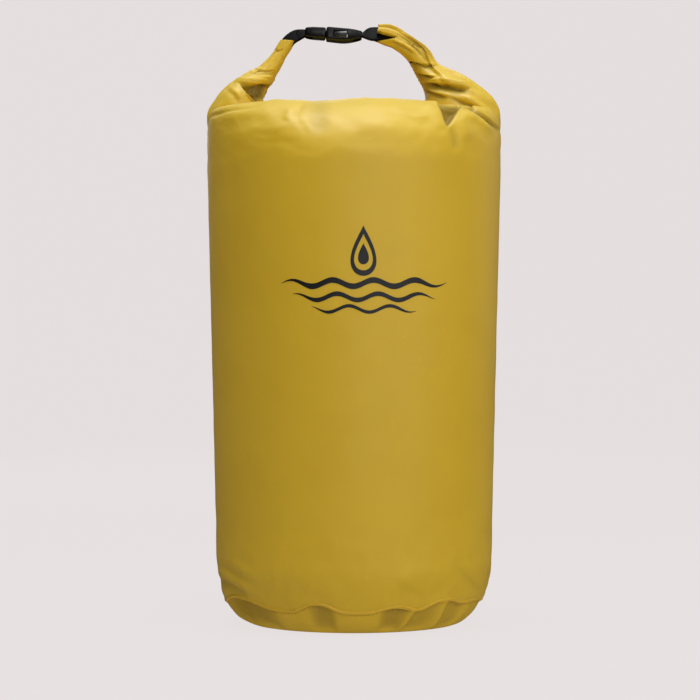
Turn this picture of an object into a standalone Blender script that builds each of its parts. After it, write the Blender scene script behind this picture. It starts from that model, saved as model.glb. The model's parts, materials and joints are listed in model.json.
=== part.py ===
"""Stuff sack: a filled roll-top dry bag whose rolled mouth is bent up and clipped into a carry loop.

Metres, +Z up, origin at the centre of the base on the floor, printed front facing -Y.
Bodies, from the floor up: sack, crown (the shoulder), roll, two roll ends, two webbing tabs with the
halves of a side-release buckle, and the two release arms of its plug.
"""

import math

import bmesh
import bpy
from mathutils import Matrix, Vector

MM = 0.001
SEGMENTS = 48  # facets round the sack, shared by every turned piece so that their corners line up
CLEAR = 0.4 * MM  # gap between neighbouring pieces

# Sack
FLAT_RADIUS = 91 * MM  # the flat disc that the sack stands on
FOOT_RADIUS = 130 * MM  # where the rounded foot meets the straight wall
FOOT_HEIGHT = 50 * MM
SHOULDER_RADIUS = 139 * MM
SHOULDER_BASE = 430 * MM  # height where the wall starts to turn in
WALL = 1.0 * MM  # coated cloth with its coating
BASE_RIM = 21 * MM  # height of the base panel's upper edge
SEAM_HEIGHT = 23.7 * MM
SEAM_RADIUS = 1.7 * MM
WALL_START = 26.4 * MM
FOOT_FACETS = (32 * MM, 40 * MM)  # heights where the rounded foot's facets meet
TAPE_HALF_HEIGHT = 10 * MM
TAPE_THICKNESS = 0.5 * MM
TAPE_GAP = 1.2 * MM
SIDE_SEAM_WIDTH = 10 * MM
SIDE_SEAM_THICKNESS = 0.8 * MM
SIDE_TAPE_WIDTH = 16 * MM
SIDE_SEAM_TOP = 424 * MM

# Shoulder and its mouth
MOUTH_CENTRE_X = -14 * MM
MOUTH_HALF_LENGTH = 101 * MM
MOUTH_HALF_WIDTH = 21 * MM
MOUTH_HEIGHT = 478 * MM
BULGE_HEIGHT = 503 * MM  # control height of the front and back bulges
CORNER_RISE = 22 * MM  # how much further the two corners rise
SHOULDER_RINGS = 8

# Roll
ROLL_AXIS_HEIGHT = 485 * MM
ROLL_LEFT = -91 * MM
ROLL_RIGHT = 61 * MM
ROLL_TURNS = 2.5
ROLL_CORE = 1.6 * MM  # middle of the innermost turn, clear of the stiffener
ROLL_PITCH = 1.6 * MM
ROLL_PLY = 1.2 * MM
ROLL_HALF_FLAT = 7.2 * MM
ROLL_STEP = math.radians(30)
ROLL_STATIONS = 9
ROLL_SAG = 0.8 * MM
STIFFENER_THICKNESS = 1.1 * MM
STIFFENER_WIDTH = 14.4 * MM

# Buckle for 20 mm webbing, in its own frame: +X from plug to socket, Y across, Z through its thickness
BUCKLE_CENTRE = Vector((-19.5 * MM, 0, 557.7 * MM))
BUCKLE_TILT = math.radians(5.9)
PLUG_END = -27 * MM
SOCKET_MOUTH = -7 * MM
SOCKET_END = 27 * MM
SOCKET_WIDTH = 30 * MM
SOCKET_THICKNESS = 10.5 * MM
PLUG_WIDTH = 27 * MM
PLUG_THICKNESS = 9.2 * MM
EDGE_ROUND = 1.6 * MM
CAVITY_HALF_WIDTH = 12 * MM
CAVITY_HALF_HEIGHT = 3.4 * MM
CAVITY_END = 16 * MM
WINDOW_START = -0.4 * MM
WINDOW_END = 13.4 * MM
WINDOW_HALF_HEIGHT = 3.0 * MM
GUIDE_END = 12 * MM
GUIDE_WIDTH = 4 * MM
ARM_THICKNESS = 5.2 * MM
ARM_ROOT_X = -6.6 * MM
ARM_PIVOT_Y = 10.2 * MM
BAR_INNER = 23.5 * MM  # distance of the webbing bars from the buckle's centre
BAR_OUTER = 26.5 * MM
BAR_HALF_HEIGHT = 2.0 * MM
SLOT_INNER = 19.5 * MM
WEBBING_WIDTH = 20 * MM
WEBBING_THICKNESS = 1.2 * MM
WEBBING_LOOP_HEIGHT = 3.05 * MM
TACK_SIZE = Vector((5 * MM, 15 * MM, 0.6 * MM))

# Where the roll ends bend (root) and where they join the webbing (tip), in the XZ plane.
# Both root-to-tip vectors mirror each other about the buckle's middle, so the plug draws out straight.
LEFT_TIP = Vector((-59 * MM, 0, 551.7 * MM))
RIGHT_TIP = Vector((41 * MM, 0, 550.7 * MM))
END_SPAN = 35 * MM
END_RISE = 58 * MM
BUCKLE_ALONG = Vector((math.cos(BUCKLE_TILT), 0, -math.sin(BUCKLE_TILT)))
BUCKLE_UP = Vector((math.sin(BUCKLE_TILT), 0, math.cos(BUCKLE_TILT)))
LEFT_ROOT = LEFT_TIP - END_SPAN * BUCKLE_ALONG - END_RISE * BUCKLE_UP
RIGHT_ROOT = RIGHT_TIP + END_SPAN * BUCKLE_ALONG - END_RISE * BUCKLE_UP
END_BOW = 7 * MM  # how far a roll end bows outwards between root and tip
END_STEPS = 7
ROOT_GAP = 1.0 * MM
TIP_GAP = 3.0 * MM

COLOURS = {
    "coated_fabric": ((0.46, 0.30, 0.04), 0.45),
    "seam_thread": ((0.36, 0.24, 0.03), 0.7),
    "seam_tape": ((0.62, 0.60, 0.50), 0.35),
    "stiffener": ((0.75, 0.75, 0.72), 0.4),
    "webbing": ((0.012, 0.012, 0.014), 0.8),
    "tack_thread": ((0.02, 0.02, 0.022), 0.75),
    "buckle_plastic": ((0.01, 0.01, 0.011), 0.35),
}


def clear_scene():
    for obj in list(bpy.data.objects):
        bpy.data.objects.remove(obj, do_unlink=True)


def new_collection(name):
    collection = bpy.data.collections.new(name)
    bpy.context.scene.collection.children.link(collection)
    return collection


def make_material(name):
    colour, roughness = COLOURS[name]
    material = bpy.data.materials.new(name)
    material.use_nodes = True
    shader = material.node_tree.nodes["Principled BSDF"]
    shader.inputs["Base Color"].default_value = (*colour, 1)
    shader.inputs["Roughness"].default_value = roughness
    shader.inputs["Metallic"].default_value = 0
    return material


def add_object(name, data, collection, material=None):
    obj = bpy.data.objects.new(name, data)
    collection.objects.link(obj)
    if material:
        data.materials.append(material)
    return obj


def put_on_axis(obj, axis_empty):
    """Gives obj the empty's place as its origin, without moving its surface, and parents it there."""
    frame = axis_empty.matrix_world
    obj.data.transform(frame.inverted() @ obj.matrix_world)
    obj.matrix_world = Matrix.Identity(4)
    obj.parent = axis_empty
    return obj


def add_axis(name, point, tilt, collection):
    empty = bpy.data.objects.new(name, None)
    empty.empty_display_size = 10 * MM
    empty.matrix_world = Matrix.Translation(point) @ Matrix.Rotation(tilt, 4, "Y")
    collection.objects.link(empty)
    bpy.context.view_layer.update()
    return empty


# ---- shapes -------------------------------------------------------------------------------------


def wall_radius(height):
    """Outer radius of the sack: a quarter ellipse for the foot, then a straight taper."""
    if height < FOOT_HEIGHT:
        share = 1 - height / FOOT_HEIGHT
        return FLAT_RADIUS + (FOOT_RADIUS - FLAT_RADIUS) * math.sqrt(1 - share * share)
    share = (height - FOOT_HEIGHT) / (SHOULDER_BASE - FOOT_HEIGHT)
    return FOOT_RADIUS + (SHOULDER_RADIUS - FOOT_RADIUS) * share


def turned(name, profile, collection, material):
    """Turns (radius, height) points, outer side first and downwards, about the sack's axis."""
    mesh = bpy.data.meshes.new(name)
    points = [(radius, 0, height) for radius, height in profile]
    count = len(points)
    edges = [(i, (i + 1) % count) for i in range(count)]
    mesh.from_pydata(points, edges, [])
    obj = add_object(name, mesh, collection, material)
    screw = obj.modifiers.new("turn", "SCREW")
    screw.steps = SEGMENTS
    screw.render_steps = SEGMENTS
    screw.use_merge_vertices = True
    screw.merge_threshold = 0.01 * MM
    screw.use_smooth_shade = True
    return obj


def shell_profile(heights, offset, thickness):
    """A closed profile that follows the sack's wall, set in by offset, with heights going down."""
    outer = [(wall_radius(h) - offset, h) for h in heights]
    inner = [(wall_radius(h) - offset - thickness, h) for h in reversed(heights)]
    return outer + inner


def even_steps(start, stop, count):
    return [start + (stop - start) * i / (count - 1) for i in range(count)]


def wall_heights(bottom, top):
    """Heights from bottom to top, with the tube's own facet heights in between."""
    facets = [WALL_START, *FOOT_FACETS, *even_steps(FOOT_HEIGHT, SHOULDER_BASE, 4)]
    margin = 2 * MM
    between = [h for h in facets if bottom + margin < h < top - margin]
    return [bottom, *between, top]


def prism(name, outline, half_width, collection, material):
    """A flat outline in the XZ plane, extruded half_width to each side along Y."""
    curve = bpy.data.curves.new(name, "CURVE")
    curve.dimensions = "2D"
    curve.fill_mode = "BOTH"
    curve.extrude = half_width
    spline = curve.splines.new("POLY")
    spline.points.add(len(outline) - 1)
    for point, (x, z) in zip(spline.points, outline):
        point.co = (x, z, 0, 1)
    spline.use_cyclic_u = True
    obj = add_object(name, curve, collection, material)
    obj.matrix_world = Matrix.Rotation(math.radians(90), 4, "X")
    return obj


def to_mesh(obj):
    """Replaces a curve object by the same object as a mesh with its caps welded on."""
    bpy.context.view_layer.update()
    source = obj.evaluated_get(bpy.context.evaluated_depsgraph_get())
    mesh = bpy.data.meshes.new_from_object(source)
    shape = bmesh.new()
    shape.from_mesh(mesh)
    bmesh.ops.remove_doubles(shape, verts=shape.verts, dist=0.005 * MM)
    bmesh.ops.recalc_face_normals(shape, faces=shape.faces)
    shape.to_mesh(mesh)
    shape.free()
    name = obj.name
    collection = obj.users_collection[0]
    matrix = obj.matrix_world.copy()
    bpy.data.objects.remove(obj, do_unlink=True)
    result = bpy.data.objects.new(name, mesh)
    result.matrix_world = matrix
    collection.objects.link(result)
    return result


def box(name, low, high, collection, material=None, rounding=0.0):
    """A box between two corners, with rounded edges if rounding is given."""
    low = Vector(low)
    high = Vector(high)
    mesh = bpy.data.meshes.new(name)
    shape = bmesh.new()
    size = high - low
    middle = (high + low) / 2
    place = Matrix.Translation(middle) @ Matrix.Diagonal((*size, 1))
    bmesh.ops.create_cube(shape, size=1, matrix=place)
    shape.to_mesh(mesh)
    shape.free()
    obj = add_object(name, mesh, collection, material)
    if rounding:
        bevel = obj.modifiers.new("rounding", "BEVEL")
        bevel.width = rounding
        bevel.segments = 2
        bevel.harden_normals = False
    return obj


def boolean(obj, tool, operation):
    modifier = obj.modifiers.new(operation.lower() + "_" + tool.name, "BOOLEAN")
    modifier.operation = operation
    modifier.object = tool
    modifier.solver = "EXACT"
    tool.hide_render = True
    tool.display_type = "WIRE"


def ribbon_outline(path, thickness):
    """The outline of a band of the given thickness whose middle follows the (x, z) path."""
    left = []
    right = []
    for i, point in enumerate(path):
        before = Vector(path[max(i - 1, 0)])
        after = Vector(path[min(i + 1, len(path) - 1)])
        along_in = (Vector(point) - before).normalized() if i else None
        along_out = (after - Vector(point)).normalized() if i < len(path) - 1 else None
        along_in = along_in or along_out
        along_out = along_out or along_in
        along = (along_in + along_out).normalized()
        normal = Vector((-along.y, along.x))
        reach = thickness / 2 / max(normal.dot(Vector((-along_in.y, along_in.x))), 0.5)
        left.append(tuple(Vector(point) + normal * reach))
        right.append(tuple(Vector(point) - normal * reach))
    return left + right[::-1]


# ---- sack ---------------------------------------------------------------------------------------


def make_base(parts, materials):
    """The dished base panel, the seam ring above it and the tape that covers the seam inside."""
    heights = [BASE_RIM * share for share in (1, 0.7, 0.4, 0.16, 0.04)]
    outer = [(wall_radius(h), h) for h in heights]
    inner = [(wall_radius(h) - WALL, h + WALL * (1 - h / BASE_RIM)) for h in reversed(heights)]
    floor = [(FLAT_RADIUS, 0), (0, 0), (0, WALL), (FLAT_RADIUS, WALL)]
    turned("base_panel", outer + floor + inner, parts, materials["coated_fabric"])
    seam_radius = wall_radius(SEAM_HEIGHT) - WALL / 2
    angles = (math.radians(90 - 60 * i) for i in range(6))
    ring = [
        (seam_radius + SEAM_RADIUS * math.cos(a), SEAM_HEIGHT + SEAM_RADIUS * math.sin(a))
        for a in angles
    ]
    turned("base_seam", ring, parts, materials["seam_thread"])
    low = SEAM_HEIGHT - TAPE_HALF_HEIGHT
    high = SEAM_HEIGHT + TAPE_HALF_HEIGHT
    heights = even_steps(high, low, 4)
    profile = shell_profile(heights, WALL + SEAM_RADIUS + TAPE_GAP, TAPE_THICKNESS)
    turned("base_seam_tape", profile, parts, materials["seam_tape"])


def make_tube(parts, materials):
    """The tube of the body panel, from the base seam to the shoulder."""
    heights = wall_heights(WALL_START, SHOULDER_BASE)[::-1]
    turned("body_panel", shell_profile(heights, 0, WALL), parts, materials["coated_fabric"])


def wall_strip(name, offset, width, thickness, bottom, parts, material):
    """A flat strip that runs up the back of the wall, offset outwards (or inwards if negative)."""
    path = [(wall_radius(h) + offset, h) for h in wall_heights(bottom, SIDE_SEAM_TOP)]
    strip = prism(name, ribbon_outline(path, thickness), width / 2, parts, material)
    strip.matrix_world = Matrix.Rotation(math.radians(90), 4, "Z") @ strip.matrix_world


def make_side_seam(parts, materials):
    """The felled seam up the back and the waterproof tape behind it."""
    outside = CLEAR + SIDE_SEAM_THICKNESS / 2
    wall_strip("side_seam", outside, SIDE_SEAM_WIDTH, SIDE_SEAM_THICKNESS,
               WALL_START, parts, materials["seam_thread"])
    inside = WALL + TAPE_GAP + TAPE_THICKNESS / 2
    wall_strip("side_seam_tape", -inside, SIDE_TAPE_WIDTH, TAPE_THICKNESS,
               SEAM_HEIGHT + TAPE_HALF_HEIGHT + 3 * MM, parts, materials["seam_tape"])


# ---- crown --------------------------------------------------------------------------------------


def bezier(points, share):
    """A point of the cubic Bezier curve with these four control points."""
    rest = 1 - share
    weights = (rest**3, 3 * rest * rest * share, 3 * rest * share * share, share**3)
    return sum((p * w for p, w in zip(points, weights)), Vector((0, 0, 0)))


def shoulder_line(angle):
    """Control points of the line up the shoulder at this angle: out of the tube, over the bulge
    and down to the mouth. The lines towards +X and -X rise further, which makes the corners."""
    cosine = math.cos(angle)
    sine = math.sin(angle)
    foot = Vector((SHOULDER_RADIUS * cosine, SHOULDER_RADIUS * sine, SHOULDER_BASE + CLEAR))
    corner = cosine * cosine
    mouth = Vector(
        (
            MOUTH_CENTRE_X + MOUTH_HALF_LENGTH * math.copysign(math.sqrt(abs(cosine)), cosine),
            MOUTH_HALF_WIDTH * math.copysign(math.sqrt(abs(sine)), sine),
            MOUTH_HEIGHT + CORNER_RISE * 0.3 * corner,
        )
    )
    rise = foot + Vector((0, 0, MOUTH_HEIGHT - SHOULDER_BASE))
    over = mouth.lerp(foot, 0.45 + 0.2 * corner)
    over.z = BULGE_HEIGHT + CORNER_RISE * corner
    return foot, rise, over, mouth


def make_shoulder(parts, materials):
    """The shoulder: a loft from the round tube to the long, narrow mouth, with a wall."""
    mesh = bpy.data.meshes.new("shoulder_panel")
    shape = bmesh.new()
    rings = []
    for ring in range(SHOULDER_RINGS):
        share = ring / (SHOULDER_RINGS - 1)
        lines = (shoulder_line(2 * math.pi * i / SEGMENTS) for i in range(SEGMENTS))
        rings.append([shape.verts.new(bezier(line, share)) for line in lines])
    for lower, upper in zip(rings, rings[1:]):
        for i in range(SEGMENTS):
            after = (i + 1) % SEGMENTS
            shape.faces.new((lower[i], lower[after], upper[after], upper[i]))
    shape.to_mesh(mesh)
    shape.free()
    mesh.shade_smooth()
    obj = add_object("shoulder_panel", mesh, parts, materials["coated_fabric"])
    wall = obj.modifiers.new("wall", "SOLIDIFY")
    wall.thickness = WALL
    wall.offset = -1


# ---- roll ---------------------------------------------------------------------------------------


def spiral_outline():
    """Outline of the flattened spiral of rolled cloth, in the roll's cross-section (across, up)."""
    outer = []
    inner = []
    steps = round(2 * math.pi * ROLL_TURNS / ROLL_STEP)
    for i in range(steps + 1):
        angle = i * ROLL_STEP
        radius = ROLL_CORE + ROLL_PITCH * angle / (2 * math.pi)
        cosine = math.cos(angle)
        sides = [math.copysign(1, cosine)] if abs(cosine) > 1e-6 else []
        if not sides:
            sides = [1, -1] if math.sin(angle) > 0 else [-1, 1]
        for side in sides:
            for outline, reach in ((outer, ROLL_PLY / 2), (inner, -ROLL_PLY / 2)):
                across = side * ROLL_HALF_FLAT + (radius + reach) * cosine
                up = (radius + reach) * math.sin(angle)
                outline.append((across, up))
    return outer + inner[::-1]


def strip_outline():
    half_width = STIFFENER_WIDTH / 2
    half_thickness = STIFFENER_THICKNESS / 2
    return [(-half_width, -half_thickness), (half_width, -half_thickness),
            (half_width, half_thickness), (-half_width, half_thickness)]


def sweep(name, outline, path, parts, material):
    """Sweeps an outline (across, up) along a path in the XZ plane, with across along Y."""
    mesh = bpy.data.meshes.new(name)
    shape = bmesh.new()
    rings = []
    for i, point in enumerate(path):
        along = (path[min(i + 1, len(path) - 1)] - path[max(i - 1, 0)]).normalized()
        up = Vector((-along.z, 0, along.x))
        across = Vector((0, 1, 0))
        rings.append([shape.verts.new(point + across * a + up * u) for a, u in outline])
    for first, second in zip(rings, rings[1:]):
        for i in range(len(outline)):
            after = (i + 1) % len(outline)
            shape.faces.new((first[i], first[after], second[after], second[i]))
    caps = [shape.faces.new(rings[0]), shape.faces.new(rings[-1])]
    bmesh.ops.triangulate(shape, faces=caps)
    bmesh.ops.recalc_face_normals(shape, faces=shape.faces)
    shape.to_mesh(mesh)
    shape.free()
    return add_object(name, mesh, parts, material)


def end_path(root, tip, outwards):
    """The bowed middle line of a roll end, from just above its root to just before its tip."""
    span = (tip - root).length
    along = (tip - root).normalized()
    side = Vector((-along.z, 0, along.x)) * outwards
    path = []
    for i in range(END_STEPS):
        share = i / (END_STEPS - 1)
        distance = ROOT_GAP + (span - ROOT_GAP - TIP_GAP) * share
        bow = END_BOW * math.sin(math.pi * distance / span)
        path.append(root + along * distance + side * bow)
    return path


def make_roll(parts, materials):
    """The middle of the rolled mouth, sagging slightly, with the stiffening strip in its core."""
    path = []
    for share in even_steps(0, 1, ROLL_STATIONS):
        x = ROLL_LEFT + (ROLL_RIGHT - ROLL_LEFT) * share
        sag = ROLL_SAG * math.sin(math.pi * share)
        path.append(Vector((x, 0, ROLL_AXIS_HEIGHT - sag)))
    fabric = materials["coated_fabric"]
    return [
        sweep("closure_roll", spiral_outline(), path, parts, fabric),
        sweep("closure_stiffener", strip_outline(), path, parts, materials["stiffener"]),
    ]


def make_roll_end(side, root, tip, outwards, parts, materials):
    path = end_path(root, tip, outwards)
    fabric = materials["coated_fabric"]
    return [
        sweep(f"closure_roll_{side}", spiral_outline(), path, parts, fabric),
        sweep(f"stiffener_{side}", strip_outline(), path, parts, materials["stiffener"]),
    ]


# ---- webbing and buckle -------------------------------------------------------------------------


def in_buckle(point):
    """A world point of the XZ plane, as (x, z) in the buckle's frame."""
    offset = point - BUCKLE_CENTRE
    return offset.dot(BUCKLE_ALONG), offset.dot(BUCKLE_UP)


def webbing_path(tip, side):
    """Middle line of the doubled webbing: from the tip over the bar, round it and back below."""
    tip_x, tip_z = in_buckle(tip)
    away = Vector((tip_x - side * BAR_OUTER, tip_z)).normalized()
    gap = Vector((-away.y, away.x)) * (WEBBING_THICKNESS * 0.85) * -side
    end = Vector((tip_x, tip_z)) - away * 1.8 * MM
    loop = WEBBING_LOOP_HEIGHT
    slot = side * (BAR_INNER - 1.0 * MM)
    corner = 0.8 * MM
    half = [
        (side * (BAR_OUTER + 0.6 * MM), loop),
        (slot + side * corner, loop),
        (slot, loop - corner),
    ]
    lower = [(x, -z) for x, z in reversed(half)]
    return [tuple(end + gap)] + half + lower + [tuple(end - gap)]


def make_webbing(name, tip, side, buckle, parts, materials):
    outline = ribbon_outline(webbing_path(tip, side), WEBBING_THICKNESS)
    obj = prism(name, outline, WEBBING_WIDTH / 2, parts, materials["webbing"])
    obj.matrix_world = buckle.matrix_world @ obj.matrix_world
    return to_mesh(obj)


def make_tack(name, tip, side, buckle, parts, materials):
    """The bar tack: a raised block of stitching on the upper ply, near the roll end."""
    path = webbing_path(tip, side)
    start = Vector(path[0])
    stop = Vector(path[1])
    middle = start.lerp(stop, 0.5)
    along = (stop - start).normalized()
    up = Vector((along.y, -along.x)) * side
    centre = middle + up * (WEBBING_THICKNESS / 2 + CLEAR + TACK_SIZE.z / 2)
    half = TACK_SIZE / 2
    obj = box(name, -half, half, parts, materials["tack_thread"], 0.15 * MM)
    turn = Matrix.Rotation(-math.atan2(along.y, along.x), 4, "Y")
    place = Matrix.Translation((centre.x, 0, centre.y))
    obj.matrix_world = buckle.matrix_world @ place @ turn
    return obj


def cut_bar(obj, side, cutters):
    """Cuts the webbing slot and thins the bar beside it, at one end of the buckle."""
    half = WEBBING_WIDTH / 2 + 0.7 * MM
    tall = SOCKET_THICKNESS
    low_x, high_x = sorted((side * SLOT_INNER, side * BAR_INNER))
    slot = box(obj.name + "_slot", (low_x, -half, -tall), (high_x, half, tall), cutters)
    boolean(obj, slot, "DIFFERENCE")
    low_x, high_x = sorted((side * (BAR_INNER - 0.2 * MM), side * 40 * MM))
    for label, low_z, high_z in (
        ("over", BAR_HALF_HEIGHT, tall),
        ("under", -tall, -BAR_HALF_HEIGHT),
    ):
        cutter = box(f"{obj.name}_{label}", (low_x, -half, low_z), (high_x, half, high_z), cutters)
        boolean(obj, cutter, "DIFFERENCE")
    low_x, high_x = sorted((side * BAR_OUTER, side * 40 * MM))
    end = box(obj.name + "_bar_end", (low_x, -half, -tall), (high_x, half, tall), cutters)
    boolean(obj, end, "DIFFERENCE")


def make_plug(parts, cutters, materials):
    half_y = PLUG_WIDTH / 2
    half_z = PLUG_THICKNESS / 2
    face = SOCKET_MOUTH - CLEAR
    plastic = materials["buckle_plastic"]
    plug = box("buckle_plug", (PLUG_END, -half_y, -half_z), (face, half_y, half_z),
               parts, plastic, EDGE_ROUND)
    guide_half = GUIDE_WIDTH / 2
    guide = box("plug_guide", (face - 2 * MM, -guide_half, -guide_half),
                (GUIDE_END, guide_half, guide_half), cutters)
    boolean(plug, guide, "UNION")
    cut_bar(plug, -1, cutters)
    return plug


def make_socket(parts, cutters, materials):
    half_y = SOCKET_WIDTH / 2
    half_z = SOCKET_THICKNESS / 2
    plastic = materials["buckle_plastic"]
    socket = box("buckle_socket", (SOCKET_MOUTH, -half_y, -half_z), (SOCKET_END, half_y, half_z),
                 parts, plastic, EDGE_ROUND)
    cavity = box("socket_cavity", (-40 * MM, -CAVITY_HALF_WIDTH, -CAVITY_HALF_HEIGHT),
                 (CAVITY_END, CAVITY_HALF_WIDTH, CAVITY_HALF_HEIGHT), cutters)
    boolean(socket, cavity, "DIFFERENCE")
    window = box("socket_windows", (WINDOW_START, -40 * MM, -WINDOW_HALF_HEIGHT),
                 (WINDOW_END, 40 * MM, WINDOW_HALF_HEIGHT), cutters)
    boolean(socket, window, "DIFFERENCE")
    cut_bar(socket, 1, cutters)
    return socket


def make_arm(name, side, parts, materials):
    """A release arm: a thin spring leg with a thumb pad that fills the socket's side window."""
    outline = [
        (ARM_ROOT_X, 9.2 * MM), (2.0 * MM, 9.6 * MM), (12.6 * MM, 10.6 * MM),
        (12.6 * MM, 14.2 * MM), (6.0 * MM, 13.5 * MM), (1.2 * MM, 12.4 * MM),
        (-0.8 * MM, 11.4 * MM), (ARM_ROOT_X, 11.4 * MM),
    ]
    outline = [(x, side * y) for x, y in outline]
    arm = prism(name, outline, ARM_THICKNESS / 2, parts, materials["buckle_plastic"])
    arm.matrix_world = Matrix.Identity(4)
    return to_mesh(arm)


def main():
    clear_scene()
    materials = {name: make_material(name) for name in COLOURS}
    parts = new_collection("stuff_sack")
    cutters = new_collection("cutters")

    make_base(parts, materials)
    make_tube(parts, materials)
    make_side_seam(parts, materials)
    make_shoulder(parts, materials)

    roll_axis = add_axis("roll_axis", Vector((0, 0, ROLL_AXIS_HEIGHT)), 0, parts)
    for obj in make_roll(parts, materials):
        put_on_axis(obj, roll_axis)

    buckle = add_axis("buckle_axis", BUCKLE_CENTRE, BUCKLE_TILT, parts)
    plug = make_plug(parts, cutters, materials)
    socket = make_socket(parts, cutters, materials)
    for obj in (plug, socket, *cutters.objects):
        obj.matrix_world = buckle.matrix_world @ obj.matrix_world

    halves = (
        ("left", LEFT_ROOT, LEFT_TIP, -1, plug),
        ("right", RIGHT_ROOT, RIGHT_TIP, 1, socket),
    )
    for side, root, tip, direction, half in halves:
        root_axis = add_axis(f"{side}_root_axis", root, 0, parts)
        for obj in make_roll_end(side, root, tip, -direction, parts, materials):
            put_on_axis(obj, root_axis)
        tip_axis = add_axis(f"{side}_tip_axis", tip, BUCKLE_TILT, parts)
        webbing = make_webbing(f"webbing_{side}", tip, direction, buckle, parts, materials)
        put_on_axis(webbing, tip_axis)
        tack = make_tack(f"bartack_{side}", tip, direction, buckle, parts, materials)
        put_on_axis(tack, tip_axis)
        put_on_axis(half, tip_axis)

    for name, side in (("release_arm_front", -1), ("release_arm_rear", 1)):
        arm = make_arm(name, side, parts, materials)
        arm.matrix_world = buckle.matrix_world @ arm.matrix_world
        pivot = buckle.matrix_world @ Vector((ARM_ROOT_X, side * ARM_PIVOT_Y, 0))
        put_on_axis(arm, add_axis(name + "_axis", pivot, BUCKLE_TILT, parts))


main()
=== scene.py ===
"""Looks of the stuff sack: coated cloth, rolled mouth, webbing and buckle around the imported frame.

Metres, +Z up, front facing -Y. Places come from the frame's boxes and joints where they can.
Lists of points for folds, sections, straps and the print are in millimetres.
"""

import json
import math
import random

import bmesh
import bpy
import numpy as np
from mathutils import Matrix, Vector
from mathutils.bvhtree import BVHTree
from mathutils.noise import noise

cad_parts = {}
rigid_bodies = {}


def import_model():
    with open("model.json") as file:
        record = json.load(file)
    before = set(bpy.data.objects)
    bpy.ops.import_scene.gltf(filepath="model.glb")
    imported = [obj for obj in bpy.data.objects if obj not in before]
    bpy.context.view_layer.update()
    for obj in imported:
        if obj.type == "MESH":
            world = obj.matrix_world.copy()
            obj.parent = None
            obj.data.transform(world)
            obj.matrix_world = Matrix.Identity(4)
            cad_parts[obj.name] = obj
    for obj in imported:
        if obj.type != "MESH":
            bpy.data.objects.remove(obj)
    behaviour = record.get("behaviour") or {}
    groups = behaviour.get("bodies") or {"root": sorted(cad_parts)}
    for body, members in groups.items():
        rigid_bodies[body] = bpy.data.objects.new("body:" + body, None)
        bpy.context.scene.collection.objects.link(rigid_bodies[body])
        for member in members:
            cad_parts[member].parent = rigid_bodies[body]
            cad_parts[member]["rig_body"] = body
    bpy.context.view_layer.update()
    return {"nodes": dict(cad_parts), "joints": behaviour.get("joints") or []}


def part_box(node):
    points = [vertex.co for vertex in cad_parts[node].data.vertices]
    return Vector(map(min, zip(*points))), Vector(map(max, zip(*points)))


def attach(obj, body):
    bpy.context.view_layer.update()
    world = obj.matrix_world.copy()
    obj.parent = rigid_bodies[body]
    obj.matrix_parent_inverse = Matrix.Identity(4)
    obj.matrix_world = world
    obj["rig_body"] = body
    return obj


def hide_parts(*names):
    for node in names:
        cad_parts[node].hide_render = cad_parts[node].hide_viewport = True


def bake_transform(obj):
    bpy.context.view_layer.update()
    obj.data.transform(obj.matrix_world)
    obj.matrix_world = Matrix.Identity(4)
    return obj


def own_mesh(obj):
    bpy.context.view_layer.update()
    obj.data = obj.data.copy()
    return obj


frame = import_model()

MM = 0.001
SCENE = bpy.context.scene
JOINTS = {joint["name"]: joint for joint in frame["joints"]}

# ---- places read from the frame ----

WALL_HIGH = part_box("body_panel")[1]
SEAM_LOW, SEAM_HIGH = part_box("base_seam")
SIDE_SEAM_LOW, SIDE_SEAM_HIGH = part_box("side_seam")
ROLL_LOW, ROLL_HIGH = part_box("closure_roll")
SEAM_Z = (SEAM_LOW.z + SEAM_HIGH.z) / 2
TOP_RADIUS = WALL_HIGH.x
SHOULDER_Z = WALL_HIGH.z
FOOT_HEIGHT = 58 * MM
FOOT_ROUNDING = (1.5, 0.45)
FOOT_LEAN = 0.6
FOOT_RADIUS = TOP_RADIUS - 9 * MM
FLAT_RADIUS = FOOT_RADIUS - 39 * MM
TILT_AXIS = Vector(JOINTS["handle_tilt"]["pos_m"])
LEFT_TIP = Vector(JOINTS["left_tab_bend"]["pos_m"])
RIGHT_TIP = Vector(JOINTS["right_tab_bend"]["pos_m"])

# ---- the camera, which the front folds are laid out for ----

CAMERA_PLACE = Vector((-3.8 * MM, -2.37, 0.2585))
CAMERA_ANGLE = 2 * math.atan(0.3325 / 2.37)

# ---- sizes of the visible cloth ----

COLUMNS = 200
BASE_COLUMNS = 2 * COLUMNS
RIDGE_COLUMNS = 4 * COLUMNS
TUBE_ROWS = 60
ROWS_CLOSER_LOW = 1.12
CROWN_ROWS = 58
NECK_HALF_WIDTH = 2 * MM
NECK_CENTRE = -14 * MM
NECK_HALF_LENGTH = 98 * MM
NECK_HEIGHT = TILT_AXIS.z - 9 * MM
SEAM_FADE = 30 * MM
SEAM_RIDGE = 2.1 * MM
SEAM_OVERHANG = 1.3 * MM
OVERHANG_HEIGHT = 10 * MM
SEAM_LOWEST = 21.5 * MM
STITCH_DROP = 3 * MM
# Fold depth at which the painted shade of a crease is full, and hollow depth at which the painted shade
# of a base hollow is full.
PAINTED_SHADE_DEPTH = 5 * MM
HOLLOW_DARKEST = 9 * MM
TUCK_EDGE = 0.7 * MM
PLEAT_PEAK = 2.3
SIM_FRAMES = 24
SIM_MOST_MOVE = 3 * MM
SIM_HOLD = 0.1
SIM_ON_WALL = 0.1
SIM_AT_BASE = 0.6
SIM_AT_SHOULDER = 0.2
CALM_LOW = 0.11
CALM_HIGH = (0.40, 0.47)
FILM_DEPTH = 1.6 * MM

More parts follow.
